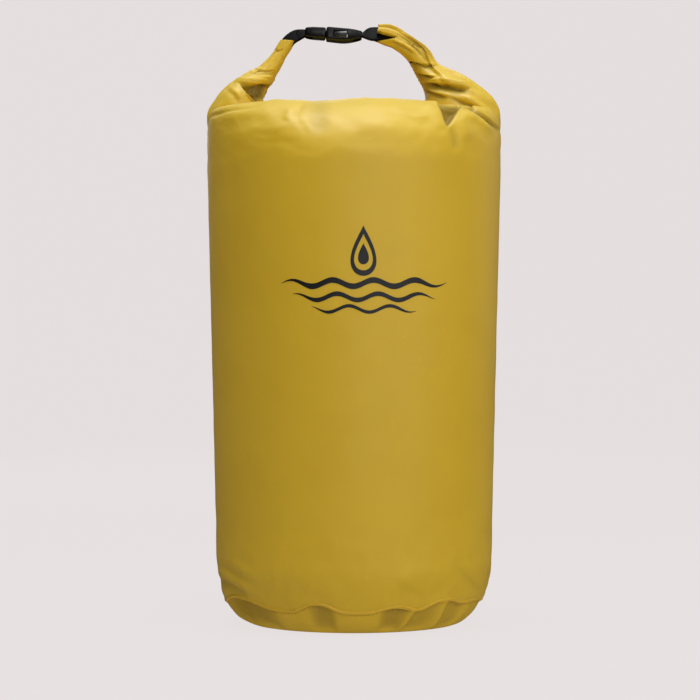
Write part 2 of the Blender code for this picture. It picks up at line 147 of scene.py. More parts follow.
# Scallops of the base seam seen from the front: angle from the front, half-width, size in mm.
# Hollows sink below the seam, arches lift the seam, and pleats stand out between the hollows.
# The slant leans the hollows and pleats near its angle sideways, by its third number in degrees.
FRONT_HOLLOWS = [(-57, 18, 4.6), (-14.5, 5.4, 4.4), (18.2, 6, 4.8), (34.5, 6.5, 3.4), (51, 6.5, 3.0)]
FRONT_ARCHES = [(-60, 17, 9.0), (-16.0, 8, 8.0), (18, 8, 5.0), (42, 10, 9.0), (64, 14, 5.5)]
FRONT_PLEATS = [(26.5, 2.0, 3.6), (43, 1.7, 2.4), (60, 3.0, 1.0), (-36, 4, 1.4), (-5, 6, 0.6)]
SLANT = (29, 8, 8)


# ---- small helpers ----


def smooth(value, low, high):
    """0 below low, 1 above high, and a smooth rise between."""
    share = np.clip((value - low) / (high - low), 0, 1)
    return share * share * (3 - 2 * share)


def full_turn(count):
    """Angles evenly spaced around a circle."""
    return np.arange(count) * 2 * math.pi / count


def ring(theta, radius, z):
    """Points around the Z axis."""
    return np.stack([radius * np.cos(theta), radius * np.sin(theta), z + 0 * theta], -1)


def blunt(wave, power):
    """A sine or cosine made fuller (power under 1), which squares up the oval it draws."""
    return np.sign(wave) * np.abs(wave) ** power


def run_along(path):
    """Distance run at each point of a path."""
    steps = np.linalg.norm(np.diff(path, axis=0), axis=1)
    return np.concatenate([[0], np.cumsum(steps)])


def read_along(run, path, at):
    """Points of a path at the distances given."""
    return np.stack([np.interp(at, run, path[:, k]) for k in range(3)], -1)


def noise_at(points, scale, seed):
    """Smooth noise between -1 and 1 at each point; scale is the size of its bumps."""
    shift = Vector((seed * 17.3, seed * 5.1, seed * 9.7))
    return np.array([noise(Vector(point) / scale + shift) for point in points])


def read_vectors(obj, kind):
    """Each vertex's "co" or "normal"."""
    obj.data.update()
    values = np.empty(len(obj.data.vertices) * 3, np.float32)
    obj.data.vertices.foreach_get(kind, values)
    return values.reshape(-1, 3).astype(float)


def write_points(obj, points):
    obj.data.vertices.foreach_set("co", np.asarray(points, np.float32).ravel())
    obj.data.update()


def seen_from_front(points):
    """Where each point appears in the XZ plane through the axis, from the camera."""
    reach = -CAMERA_PLACE.y / (points[:, 1] - CAMERA_PLACE.y)
    x = CAMERA_PLACE.x + (points[:, 0] - CAMERA_PLACE.x) * reach
    z = CAMERA_PLACE.z + (points[:, 2] - CAMERA_PLACE.z) * reach
    return x, z


def add_mesh(name, mesh, material):
    obj = bpy.data.objects.new(name, mesh)
    SCENE.collection.objects.link(obj)
    mesh.materials.append(material)
    return obj


def mesh_from(name, points, faces, material):
    mesh = bpy.data.meshes.new(name)
    mesh.from_pydata([tuple(point) for point in points], [], faces)
    mesh.shade_smooth()
    return add_mesh(name, mesh, material)


def quads(rows, columns, closed):
    """Faces of a grid of points, which joins up along its columns if closed."""
    index = np.arange(rows * columns).reshape(rows, columns)
    steps = columns if closed else columns - 1
    right = (np.arange(steps) + 1) % columns
    corners = [index[:-1, :steps], index[:-1][:, right], index[1:][:, right], index[1:, :steps]]
    return np.stack(corners, -1).reshape(-1, 4).tolist()


def grid(name, points, material, closed=True):
    """A quad surface from a (rows, columns, 3) array, closed along its columns if asked.
    Its UV map holds metres along the cloth, so that a weave keeps one scale."""
    rows, columns, _ = points.shape
    steps = columns if closed else columns - 1
    obj = mesh_from(name, points.reshape(-1, 3), quads(rows, columns, closed), material)
    width = np.linalg.norm(np.roll(points, -1, 1) - points, axis=2).mean(0)[:steps].sum()
    rise = np.linalg.norm(np.diff(points, axis=0), axis=2).mean(1)
    height = np.concatenate([[0], np.cumsum(rise)])
    uv = np.empty((rows - 1, steps, 4, 2))
    uv[..., 0] = (np.arange(steps)[:, None] + [0, 1, 1, 0]) / steps * width
    uv[..., 1] = height[np.arange(rows - 1)[:, None] + [0, 0, 1, 1]][:, None]
    layer = obj.data.uv_layers.new(name="cloth")
    layer.data.foreach_set("uv", uv.ravel())
    return obj


def apply_modifiers(obj):
    """Makes the evaluated shape the mesh itself."""
    bpy.context.view_layer.update()
    source = obj.evaluated_get(bpy.context.evaluated_depsgraph_get())
    mesh = bpy.data.meshes.new_from_object(source)
    old = obj.data
    obj.modifiers.clear()
    obj.data = mesh
    bpy.data.meshes.remove(old)
    mesh.name = obj.name


def refine(obj, levels=1):
    """Applies a subdivision surface, so that what follows moves the finished vertices."""
    modifier = obj.modifiers.new("refine", "SUBSURF")
    modifier.levels = levels
    modifier.render_levels = levels
    apply_modifiers(obj)


def close_end(obj, first, count, sink=(0, 0, 0)):
    """Closes a ring of vertices with a fan whose middle is moved by the vector sink."""
    work = bmesh.new()
    work.from_mesh(obj.data)
    work.verts.ensure_lookup_table()
    loop = [work.verts[i] for i in range(first, first + count)]
    middle = sum((vert.co for vert in loop), Vector()) / len(loop) + Vector(sink)
    centre = work.verts.new(middle)
    for a, b in zip(loop, loop[1:] + loop[:1]):
        face = work.faces.new((a, b, centre))
        face.smooth = True
    bmesh.ops.recalc_face_normals(work, faces=work.faces)
    work.to_mesh(obj.data)
    work.free()


def surface_of(obj):
    """What rays can be cast at."""
    points = [vertex.co.copy() for vertex in obj.data.vertices]
    return BVHTree.FromPolygons(points, [tuple(face.vertices) for face in obj.data.polygons])


def cast_out(surface, theta, z):
    """Where a ray from the Z axis leaves a surface, and its direction."""
    way = Vector((math.cos(theta), math.sin(theta), 0))
    hit = surface.ray_cast(Vector((0, 0, z)), way)[0]
    return hit, way


def stands_for(obj, slot, *nodes):
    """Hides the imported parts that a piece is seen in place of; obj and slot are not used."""
    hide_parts(*nodes)


def spline(knots, values, at):
    """A smooth curve through values at knots, read at the places given."""
    slope = np.gradient(values, knots, axis=0)
    i = np.clip(np.searchsorted(knots, at, side="right") - 1, 0, len(knots) - 2)
    span = (knots[i + 1] - knots[i])[:, None]
    t = ((at - knots[i]) / span[:, 0])[:, None]
    a, b = values[i], values[i + 1]
    bend_a, bend_b = slope[i] * span, slope[i + 1] * span
    shape_a = (2 * t**3 - 3 * t**2 + 1) * a + (t**3 - 2 * t**2 + t) * bend_a
    return shape_a + (3 * t**2 - 2 * t**3) * b + (t**3 - t**2) * bend_b


def even_path(points, count):
    """Points evenly spaced along a smooth path through the given points."""
    points = np.asarray(points, float)
    knots = run_along(points)
    fine = spline(knots, points, np.linspace(0, knots[-1], 400))
    run = run_along(fine)
    return read_along(run, fine, np.linspace(0, run[-1], count))


# ---- folds ----


def along_path(x, z, path):
    """Signed distance from (x, z) to a path, positive on its left, and the share run along it."""
    best = np.full(len(x), np.inf)
    signed = np.zeros(len(x))
    share = np.zeros(len(x))
    lengths = [math.dist(a, b) for a, b in zip(path, path[1:])]
    done = 0.0
    for (ax, az), (bx, bz), length in zip(path, path[1:], lengths):
        ux, uz = (bx - ax) / length, (bz - az) / length
        along = np.clip((x - ax) * ux + (z - az) * uz, 0, length)
        dx, dz = x - ax - along * ux, z - az - along * uz
        distance = np.hypot(dx, dz)
        nearer = distance < best
        best = np.where(nearer, distance, best)
        side = np.where(ux * dz - uz * dx >= 0, 1.0, -1.0)
        signed = np.where(nearer, distance * side, signed)
        share = np.where(nearer, (done + along) / sum(lengths), share)
        done += length
    return signed, share


def pocket_share(x, z, corners, soft):
    """1 inside a triangle, 0 outside it, with edges that are soft inwards. The corners run
    anticlockwise."""
    inside = np.full(len(x), np.inf)
    for (ax, az), (bx, bz) in zip(corners, corners[1:] + corners[:1]):
        length = math.dist((ax, az), (bx, bz))
        inside = np.minimum(inside, ((bx - ax) * (z - az) - (bz - az) * (x - ax)) / length)
    return smooth(inside, -0.1 * soft, soft)


def fold_shift(x, z, facing, fold):
    """How far one fold moves each point outwards. A valley sinks, a ridge rises, a pleat does
    both, one on each side of its path, a tuck drops sharply on the left of its path and
    comes back slowly, and a pocket sinks inside a triangle. facing is 1 on the half of the
    sack that is folded."""
    path, width, depth, kind = fold
    path = [(px * MM, pz * MM) for px, pz in path]
    if kind == "pocket":
        return -depth * MM * pocket_share(x, z, path, width * MM) * facing
    signed, share = along_path(x, z, path)
    taper = smooth(share, -0.05, 0.3) * smooth(1 - share, -0.05, 0.3)
    across = signed / (width * MM)
    bell = np.exp(-across * across)
    edge = smooth(signed, -TUCK_EDGE, TUCK_EDGE) * np.exp(-np.maximum(across, 0))
    pleat = across * bell * PLEAT_PEAK
    shape = {"pleat": pleat, "ridge": bell, "valley": -bell, "tuck": -edge}[kind]
    return depth * MM * shape * taper * facing


def darken(obj, depth):
    """Notes how deep in a fold each point lies, from 0 to 1, as painted shade: the cloth's material
    darkens there as if the fold were shaded.
    """
    painted_shade = obj.data.attributes.get("painted_shade") or obj.data.attributes.new("painted_shade", "FLOAT", "POINT")
    before = np.zeros(len(depth), np.float32)
    painted_shade.data.foreach_get("value", before)
    painted_shade.data.foreach_set("value", np.maximum(before, depth).astype(np.float32))


def crease(obj, folds, side=-1):
    """Folds the half of obj that faces side*Y, and paints shade into its deep folds."""
    points = read_vectors(obj, "co")
    normals = read_vectors(obj, "normal")
    if side < 0:
        x, z = seen_from_front(points)
    else:
        x, z = points[:, 0], points[:, 2]
    facing = smooth(normals[:, 1] * side, -0.15, 0.2)
    move = sum(fold_shift(x, z, facing, fold) for fold in folds)
    write_points(obj, points + normals * move[:, None])
    # Painted shade: the deeper a point sinks into a fold, the darker its colour.
    darken(obj, np.clip(-move / PAINTED_SHADE_DEPTH, 0, 1))


def ripple(obj, height, size, seed, ridged=False, mask=None):
    """Uneven cloth: noise along the normals, or soft creases if ridged."""
    points = read_vectors(obj, "co")
    normals = read_vectors(obj, "normal")
    wave = noise_at(points, size, seed)
    if ridged:
        wave = 0.5 - np.sqrt(np.abs(wave))
    if mask is not None:
        wave = wave * mask(points)
    write_points(obj, points + normals * (wave * height)[:, None])


def random_folds(seed, count, area, lengths, widths, depths, slope):
    """Folds for the sides no one arranged: seeded, inside area (x0, x1, z0, z1) in mm."""
    picker = random.Random(seed)
    folds = []
    for _ in range(count):
        x = picker.uniform(area[0], area[1])
        z = picker.uniform(area[2], area[3])
        length = picker.uniform(*lengths)
        angle = math.radians(picker.uniform(*slope)) * picker.choice((-1, 1))
        dx, dz = length * math.cos(angle), length * math.sin(angle)
        bend = picker.uniform(-0.12, 0.12) * length
        path = [(x - dx / 2, z - dz / 2), (x, z + bend), (x + dx / 2, z + dz / 2)]
        kind = picker.choice(("pleat", "valley", "pleat"))
        folds.append((path, picker.uniform(*widths), picker.uniform(*depths), kind))
    return folds


# ---- materials ----


def add_node(tree, kind, inputs=None, **settings):
    """A shader node; an input may be a value or another node's output."""
    node = tree.nodes.new("ShaderNode" + kind)
    for key, value in settings.items():
        setattr(node, key, value)
    for key, value in (inputs or {}).items():
        if isinstance(value, bpy.types.NodeSocket):
            tree.links.new(value, node.inputs[key])
        else:
            node.inputs[key].default_value = value
    return node


def calc(tree, operation, a, b):
    return add_node(tree, "Math", {0: a, 1: b}, operation=operation).outputs[0]


def noise_node(tree, place, scale, detail=2.0):
    inputs = {"Vector": place, "Scale": scale, "Detail": detail}
    return add_node(tree, "TexNoise", inputs).outputs["Fac"]


def stretched_noise(tree, place, scale):
    """Noise drawn out into streaks; scale has one number for each direction."""
    drawn = add_node(tree, "Mapping", {"Vector": place, "Scale": scale})
    return noise_node(tree, drawn.outputs[0], 1.0)


def remap(tree, value, low, high, to_low, to_high):
    inputs = {0: value, 1: low, 2: high, 3: to_low, 4: to_high}
    return add_node(tree, "MapRange", inputs).outputs[0]


def mix(tree, factor, a, b):
    """A colour between a and b."""
    return add_node(tree, "Mix", {0: factor, 6: a, 7: b}, data_type="RGBA").outputs[2]


def new_nodes(collection, name):
    """A new material or world and its empty node tree."""
    item = collection.new(name)
    item.use_nodes = True
    item.node_tree.nodes.clear()
    return item, item.node_tree


def shaded(item, shader, inputs, output="OutputMaterial"):
    """Ends a material or world with its last shader."""
    last = add_node(item.node_tree, shader, inputs)
    add_node(item.node_tree, output, {"Surface": last.outputs[0]})
    return item


def linear(srgb):
    """A colour from 0-255 sRGB numbers."""
    parts = [value / 255 for value in srgb]
    return tuple(p / 12.92 if p <= 0.04045 else ((p + 0.055) / 1.055) ** 2.4 for p in parts) + (1,)


def weave_height(tree, place, period):
    """A plain weave of the given thread period, as one height value."""
    scale = math.pi / (10 * period)
    warp = add_node(tree, "TexWave", {"Vector": place, "Scale": scale}, bands_direction="X")
    weft = add_node(tree, "TexWave", {"Vector": place, "Scale": scale}, bands_direction="Y")
    return calc(tree, "MAXIMUM", warp.outputs["Fac"], weft.outputs["Fac"])


# Pale colour that the cloth's upward faces are mixed towards: painted top light.
PAINTED_TOP_LIGHT = linear((207, 184, 80))


def cloth_material(name, colour, shade, rough, period, bump, sheen=0.0, gloss=0.6, fade=0.0, use_uv=True):
    """Woven cloth: two tones, streaks of uneven thread, fine weave, scuffs, sheen, and painted shade in
    its deep folds. Where it faces up it is paled towards a painted top light by the share fade."""
    colour, shade = linear(colour), linear(shade)
    material, tree = new_nodes(bpy.data.materials, name)
    source = add_node(tree, "TexCoord")
    place = source.outputs["UV" if use_uv else "Object"]
    weft_streak = stretched_noise(tree, place, (60, 2600, 60))
    warp_streak = stretched_noise(tree, place, (2600, 60, 60))
    broad = noise_node(tree, source.outputs["Object"], 14.0, 4.0)
    scuff = noise_node(tree, source.outputs["Object"], 160.0, 6.0)
    worn = remap(tree, scuff, 0.62, 0.78, 0.0, 0.25)
    tone = remap(tree, calc(tree, "ADD", weft_streak, warp_streak), 0.7, 1.3, 0.0, 0.5)
    tone = calc(tree, "ADD", tone, remap(tree, broad, 0.3, 0.7, 0.0, 0.5))
    body = mix(tree, tone, shade, colour)
    facing = add_node(tree, "NewGeometry").outputs["Normal"]
    upward = add_node(tree, "SeparateXYZ", {0: facing}).outputs["Z"]
    # Painted top light: the more a face points up, the paler it is coloured, up to the share fade.
    body = mix(tree, remap(tree, upward, 0.1, 0.9, 0.0, fade), body, PAINTED_TOP_LIGHT)
    pale = tuple(min(1.0, part * 1.25 + 0.008) for part in colour[:3]) + (1,)
    # Painted shade: the cloth's colour darkens towards a third of its shade tone in deep folds and base
    # hollows, as marked by the fold attribute.
    painted_shade_colour = tuple(part * 0.3 for part in shade[:3]) + (1,)
    painted_shade = add_node(tree, "Attribute", attribute_name="painted_shade").outputs["Fac"]
    body = mix(tree, calc(tree, "MULTIPLY", painted_shade, 0.85), body, painted_shade_colour)
    roughness = remap(tree, broad, 0.3, 0.7, rough - 0.05, rough + 0.06)
    height = calc(tree, "ADD", weave_height(tree, place, period), weft_streak)
    relief = add_node(tree, "Bump", {"Strength": bump, "Distance": 0.12 * MM, "Height": height})
    surface = {
        "Base Color": mix(tree, worn, body, pale),
        "Roughness": calc(tree, "ADD", roughness, worn),
        "Normal": relief.outputs[0],
        "Specular IOR Level": gloss,
        "Sheen Weight": sheen,
        "Sheen Roughness": 0.4,
    }
    return shaded(material, "BsdfPrincipled", surface)


def plastic_material(name, colour, rough, gloss=0.5):
    """Moulded plastic with a faint grain, mottled gloss and fine scratches."""
    colour = linear(colour)
    material, tree = new_nodes(bpy.data.materials, name)
    place = add_node(tree, "TexCoord").outputs["Object"]
    grain = noise_node(tree, place, 2200.0)
    mottle = noise_node(tree, place, 120.0, 5.0)
    rub = remap(tree, stretched_noise(tree, place, (150, 3000, 900)), 0.66, 0.8, 0.0, 0.5)
    pale = tuple(part + 0.03 for part in colour[:3]) + (1,)
    polish = remap(tree, mottle, 0.3, 0.7, rough - 0.07, rough + 0.1)
    relief = add_node(tree, "Bump", {"Strength": 0.25, "Distance": 0.05 * MM, "Height": grain})
    surface = {
        "Base Color": mix(tree, rub, colour, pale),
        "Roughness": calc(tree, "ADD", polish, rub),
        "Normal": relief.outputs[0],
        "Specular IOR Level": gloss,
    }
    return shaded(material, "BsdfPrincipled", surface)


# The cloth's fade of 0.55 paints top light onto its upward faces.
CLOTH = cloth_material(
    "ochre_cloth", (205, 167, 2), (199, 160, 1), 0.52, 0.6 * MM, 0.12, sheen=0.03, fade=0.55
)
BASE_CLOTH = cloth_material("ochre_base_cloth", (207, 168, 4), (199, 159, 2), 0.5, 0.6 * MM, 0.14)
SEAM_CLOTH = cloth_material("ochre_seam", (210, 168, 12), (202, 160, 8), 0.52, 0.6 * MM, 0.3)
THREAD = cloth_material(
    "ochre_thread", (196, 158, 30), (168, 132, 16), 0.6, 0.3 * MM, 0.5, use_uv=False
)
WEBBING = cloth_material(
    "black_webbing", (13, 13, 15), (7, 7, 8), 0.66, 1.3 * MM, 0.9, gloss=0.12
)
TACK_THREAD = cloth_material(
    "black_tack_thread", (24, 24, 26), (14, 14, 16), 0.55, 0.4 * MM, 0.5, gloss=0.2, use_uv=False
)
INK = cloth_material(
    "black_print_ink", (30, 30, 31), (20, 20, 21), 0.5, 0.6 * MM, 0.12, gloss=0.5
)
TAPE = plastic_material("seam_tape_film", (200, 190, 150), 0.35)
STIFFENER = plastic_material("stiffener_strip", (60, 58, 52), 0.5)
BUCKLE = plastic_material("black_buckle_plastic", (9, 9, 11), 0.34, gloss=0.3)
# The release pads are the buckle's black plastic coloured lighter, a painted highlight, together with
# their real gloss.
PAD_WITH_PAINTED_HIGHLIGHT = plastic_material("pad_plastic_with_painted_highlight", (38, 39, 42), 0.26, gloss=1.0)


# ---- the filled sack ----


def wall_radius(z):
    """Radius of the filled sack at a height."""
    from_foot, from_floor = FOOT_ROUNDING
    low = np.clip(1 - np.clip(1 - z / FOOT_HEIGHT, 0, 1) ** from_foot, 0, 1) ** from_floor
    foot = FLAT_RADIUS + (FOOT_RADIUS - FLAT_RADIUS) * low
    rise = (z - FOOT_HEIGHT) / (SHOULDER_Z - FOOT_HEIGHT)
    return np.where(z < FOOT_HEIGHT, foot, FOOT_RADIUS + (TOP_RADIUS - FOOT_RADIUS) * rise)


def rear_scallops():
    """Hollows and pleats of the base seam for the side away from the front."""
    picker = random.Random(11)
    hollows, pleats = [], []
    angle = 88.0
    while angle < 278:
        half = picker.uniform(4.5, 10)
        hollows.append((angle, half, picker.uniform(2.4, 4.4)))
        pleats.append((angle + half + 4, picker.uniform(2, 3.5), picker.uniform(0.8, 2.2)))
        angle += half * 2 + picker.uniform(8, 16)
    arches = [(centre, half * 1.2, size * 2.2) for centre, half, size in hollows]
    return hollows, pleats, arches


REAR_HOLLOWS, REAR_PLEATS, REAR_ARCHES = rear_scallops()


def off_angle(theta, centre):
    """Degrees from an angle that is counted from the front."""
    return (np.degrees(theta) + 90 - centre + 180) % 360 - 180


def scallop(theta, shapes, sharpness):
    """Sum of bumps around the base; angles are from the front, in degrees."""
    total = np.zeros_like(theta)
    for centre, half, size in shapes:
        total += size * MM * np.exp(-np.abs(off_angle(theta, centre) / half) ** sharpness)
    return total


def hollow_depth(theta):
    return scallop(theta, FRONT_HOLLOWS + REAR_HOLLOWS, 4.0)


def pleat_height(theta):
    return scallop(theta, FRONT_PLEATS + REAR_PLEATS, 2.0)


def seam_line(theta):
    """Height and radius of the base seam around the sack; it arches over each hollow."""
    z = SEAM_LOWEST + scallop(theta, FRONT_ARCHES + REAR_ARCHES, 2.6)
    radius = wall_radius(z) - 0.12 * hollow_depth(theta) + 0.3 * pleat_height(theta)
    return z, radius


def crown_line(theta, t):
    """The shoulder from the wall to the neck under the roll, for t from 0 to 1."""
    cos, sin = np.cos(theta), np.sin(theta)
    share = t[:, None]
    start = ring(theta, TOP_RADIUS, SHOULDER_Z)
    neck_x = NECK_CENTRE + NECK_HALF_LENGTH * blunt(cos, 0.5)
    end = np.stack([neck_x, NECK_HALF_WIDTH * sin, np.full_like(theta, NECK_HEIGHT)], -1)
    swell = start.copy()
    swell[:, 2] = SHOULDER_Z + (48 + 12 * cos**2) * MM
    inner = end + (start - end) * (0.47 + 0.55 * cos**4)[:, None]
    inner[:, 2] = SHOULDER_Z + (78.6 - 12.6 * cos**2) * MM
    weights = [(1 - share) ** 3, 3 * share * (1 - share) ** 2, 3 * share**2 * (1 - share), share**3]
    parts = (start, swell, inner, end)
    return sum(w[:, :, None] * part[None] for w, part in zip(weights, parts))


def make_skin():
    """Wall and shoulder in one cloth, before any folding."""
    theta = full_turn(COLUMNS)
    heights = SEAM_Z + (SHOULDER_Z - SEAM_Z) * np.linspace(0, 1, TUBE_ROWS) ** ROWS_CLOSER_LOW
    seam_z, seam_radius = seam_line(theta)
    rows = []
    for z in heights:
        fade = 1 - smooth(z, SEAM_Z, SEAM_Z + SEAM_FADE)
        height = z + (seam_z - SEAM_Z) * fade
        radius = wall_radius(height) + (seam_radius - wall_radius(seam_z)) * fade
        radius = radius + SEAM_OVERHANG * np.exp(-(((height - seam_z) / OVERHANG_HEIGHT) ** 2))
        rows.append(ring(theta, radius, height))
    crown = crown_line(theta, np.linspace(0, 1, CROWN_ROWS + 1)[1:])
    return grid("sack_skin", np.concatenate([np.array(rows), crown]), CLOTH)


def near_base(points):
    return 1 - smooth(points[:, 2], SEAM_Z, CALM_LOW)


def near_shoulder(points):
    return smooth(points[:, 2], *CALM_HIGH)


def near_ends(points):
    """1 where the cloth gathers, at the base seam and the shoulder, and less between."""
    return 0.25 + 0.75 * np.maximum(near_base(points), near_shoulder(points))


CLOTH_SETTINGS = {
    "quality": 5,
    "mass": 0.15,
    "tension_stiffness": 15,
    "compression_stiffness": 15,
    "shear_stiffness": 5,
    "bending_stiffness": 0.2,
    "vertex_group_mass": "held",
    "shrink_min": -0.011,
    "use_pressure": True,
    "uniform_pressure_force": 0.35,
}


def simulate(obj):
    """Lets the cloth settle: a little more cloth than the shape needs, air inside, and its two
    ends held. The wrinkles stay within SIM_MOST_MOVE of the shape it started from, and fade on
    the filled wall, which air and contents press smooth."""
    start = read_vectors(obj, "co")
    count = len(start)
    held = obj.vertex_groups.new(name="held")
    ends = set(range(COLUMNS)) | set(range(count - 4 * COLUMNS, count))
    held.add(sorted(ends), 1.0, "REPLACE")
    held.add([i for i in range(count) if i not in ends], SIM_HOLD, "REPLACE")
    modifier = obj.modifiers.new("settle", "CLOTH")
    for key, value in CLOTH_SETTINGS.items():
        setattr(modifier.settings, key, value)
    modifier.settings.effector_weights.gravity = 0
    modifier.point_cache.frame_start = 1
    modifier.point_cache.frame_end = SIM_FRAMES
    for step in range(1, SIM_FRAMES + 1):
        SCENE.frame_set(step)
    apply_modifiers(obj)
    SCENE.frame_set(1)
    obj.vertex_groups.clear()
    moved = read_vectors(obj, "co") - start
    length = np.linalg.norm(moved, axis=1)
    share = np.minimum(1, SIM_MOST_MOVE / np.maximum(length, 1e-9))
    wanted = SIM_ON_WALL + SIM_AT_BASE * near_base(start) + SIM_AT_SHOULDER * near_shoulder(start)
    share = share * wanted
    write_points(obj, start + moved * share[:, None])


# A fold is its path, half-width, depth and kind; a pocket has the corners of its triangle.
FRONT_FOLDS = [
    ([(-72, 455), (-72, 505)], 20, 2.0, "ridge"),
    ([(-33, 460), (-33, 505)], 13, 1.5, "valley"),
    ([(24, 455), (24, 510)], 34, 2.6, "ridge"),
    ([(-46, 496), (-51, 489), (-58, 477)], 2.4, 2.2, "tuck"),
    ([(-62, 488), (-61, 482), (-64, 474)], 4.0, 1.2, "ridge"),
    ([(-54, 481), (-48, 473), (-42, 463)], 4.0, 0.3, "pleat"),
    ([(77, 496), (90, 470), (106, 496)], 7.0, 7.5, "pocket"),
    ([(89, 469), (97, 484), (105, 497)], 8.0, 5.0, "tuck"),
    ([(66, 494), (78, 484), (86, 468)], 6.0, 1.2, "ridge"),
    ([(91, 474), (96, 461), (98, 446)], 4.0, 1.4, "valley"),
    ([(100, 484), (105, 471), (110, 456)], 5.5, 2.2, "ridge"),
    ([(70, 497), (84, 499), (102, 498)], 3.5, 2.6, "ridge"),
    ([(142, 466), (125, 481), (110, 492), (92, 502)], 3.4, 5.5, "tuck"),
    ([(103, 486), (118, 478), (134, 464)], 4.0, 2.2, "ridge"),
    ([(-142, 478), (-122, 485.5), (-104, 488), (-85, 489.5)], 2.0, 1.5, "valley"),
    ([(-128, 474), (-102, 481), (-78, 479)], 7.0, 0.8, "pleat"),
    ([(-134, 47), (-114, 36), (-96, 26)], 5.0, 1.6, "pleat"),
    ([(-130, 60), (-108, 47), (-92, 36)], 5.0, 0.9, "pleat"),
    ([(-20, 486), (10, 470), (44, 462)], 8.0, 0.4, "pleat"),
    ([(30, 488), (52, 478), (74, 476)], 5.0, 0.7, "pleat"),
    ([(100, 56), (114, 42), (126, 30)], 5.0, 0.7, "pleat"),
    ([(40, 40), (58, 32), (70, 26)], 5.0, 0.5, "pleat"),
]

# Folds where no one arranged the cloth: the rear shoulder, the rear foot and the rear wall.
REAR_FOLDS = (
    random_folds(3, 9, (-110, 110, 452, 500), (30, 70), (3, 6), (0.8, 2.0), (5, 50))
    + random_folds(4, 8, (-120, 120, 30, 70), (30, 60), (5, 8), (0.6, 1.3), (20, 60))
    + random_folds(5, 7, (-110, 110, 110, 430), (60, 120), (9, 15), (0.4, 0.9), (10, 60))
)


def follow_press(obj):
    """Rides on the sack and goes down with it when the filled sack is pressed."""
    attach(obj, "sack")
    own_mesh(obj)


skin = make_skin()
simulate(skin)
refine(skin)
crease(skin, FRONT_FOLDS, side=-1)
crease(skin, REAR_FOLDS, side=1)
ripple(skin, 0.8 * MM, 46 * MM, 1, ridged=True, mask=near_ends)
ripple(skin, 0.35 * MM, 17 * MM, 2, mask=near_ends)
stands_for(skin, "coated_fabric", "body_panel", "shoulder_panel")
SKIN_SURFACE = surface_of(skin)
follow_press(skin)


# ---- base ----


def make_base():
    """Round base with scalloped cloth between the flat bottom and the seam, with painted shade in its
    hollows.
    """
    theta = full_turn(BASE_COLUMNS)
    seam_z, seam_radius = seam_line(theta)
    rows = [ring(theta, radius, 0.0) for radius in np.linspace(4 * MM, FLAT_RADIUS, 9)]
    shade = [np.zeros(BASE_COLUMNS) for _ in rows]
    lean_in = np.radians(SLANT[2]) * np.exp(-((off_angle(theta, SLANT[0]) / SLANT[1]) ** 2))
    for share in np.linspace(0, 1, 30)[1:]:
        leant = theta + lean_in * (1 - share)
        hollow = hollow_depth(leant)
        pleat = pleat_height(leant)
        z = seam_z * share**1.5
        radius = wall_radius(z)
        belly = float(smooth(share, 0.05, 0.35) * (1 - 0.75 * smooth(share, 0.88, 1.0)))
        crest = float(smooth(share, 0.0, 0.3))
        depth = hollow * belly - pleat * crest * 0.8
        depth = depth + (radius - seam_radius) * float(smooth(share, 0.9, 1.0))
        lean = np.clip((1 - z / FOOT_HEIGHT) * FOOT_LEAN, 0, 1)
        lift = np.maximum(z + np.maximum(depth, 0) * lean * FOOT_LEAN, 0)
        rows.append(ring(theta, radius - depth * np.sqrt(1 - lean**2), lift))
        # Painted shade: the deeper a hollow, the darker its cloth is coloured, fading out towards the
        # flat bottom.
        shade.append(np.clip(hollow / HOLLOW_DARKEST, 0, 1) * float(smooth(share, 0.1, 0.6)))
    rows[-1] = ring(theta, seam_radius, seam_z)
    obj = grid("base_cloth", np.array(rows), BASE_CLOTH)
    darken(obj, np.concatenate(shade))
    return obj


def tube_along(name, path, radius, sides, material, closed=True):
    """A round cord along a path of points."""
    ahead = np.roll(path, -1, 0) - np.roll(path, 1, 0)
    if not closed:
        ahead[0], ahead[-1] = path[1] - path[0], path[-1] - path[-2]
    ahead /= np.linalg.norm(ahead, axis=1)[:, None]
    side = np.cross(ahead, (0, 0, 1))
    side /= np.linalg.norm(side, axis=1)[:, None]
    up = np.cross(side, ahead)
    turn = full_turn(sides)[:, None, None]
    points = path[None] + (side[None] * np.cos(turn) + up[None] * np.sin(turn)) * radius
    points = np.concatenate([points, points[:1]]) if closed else points
    return grid(name, points, material, closed=closed)


base = make_base()
close_end(base, 0, BASE_COLUMNS)
ripple(base, 0.6 * MM, 12 * MM, 5, mask=lambda p: smooth(p[:, 2], 2 * MM, 8 * MM))
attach(base, "sack")
stands_for(base, "coated_fabric", "base_panel")
BASE_SURFACE = surface_of(base)

seam_angle = full_turn(RIDGE_COLUMNS)
ridge_z, ridge_radius = seam_line(seam_angle)
ridge_path = ring(seam_angle, ridge_radius, ridge_z)
ridge = tube_along("base_seam_ridge", ridge_path, SEAM_RIDGE, 10, SEAM_CLOTH)
ripple(ridge, 0.35 * MM, 6 * MM, 6)
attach(ridge, "sack")
stands_for(ridge, "coated_fabric", "base_seam")


# ---- stitching ----

BACK = math.pi / 2


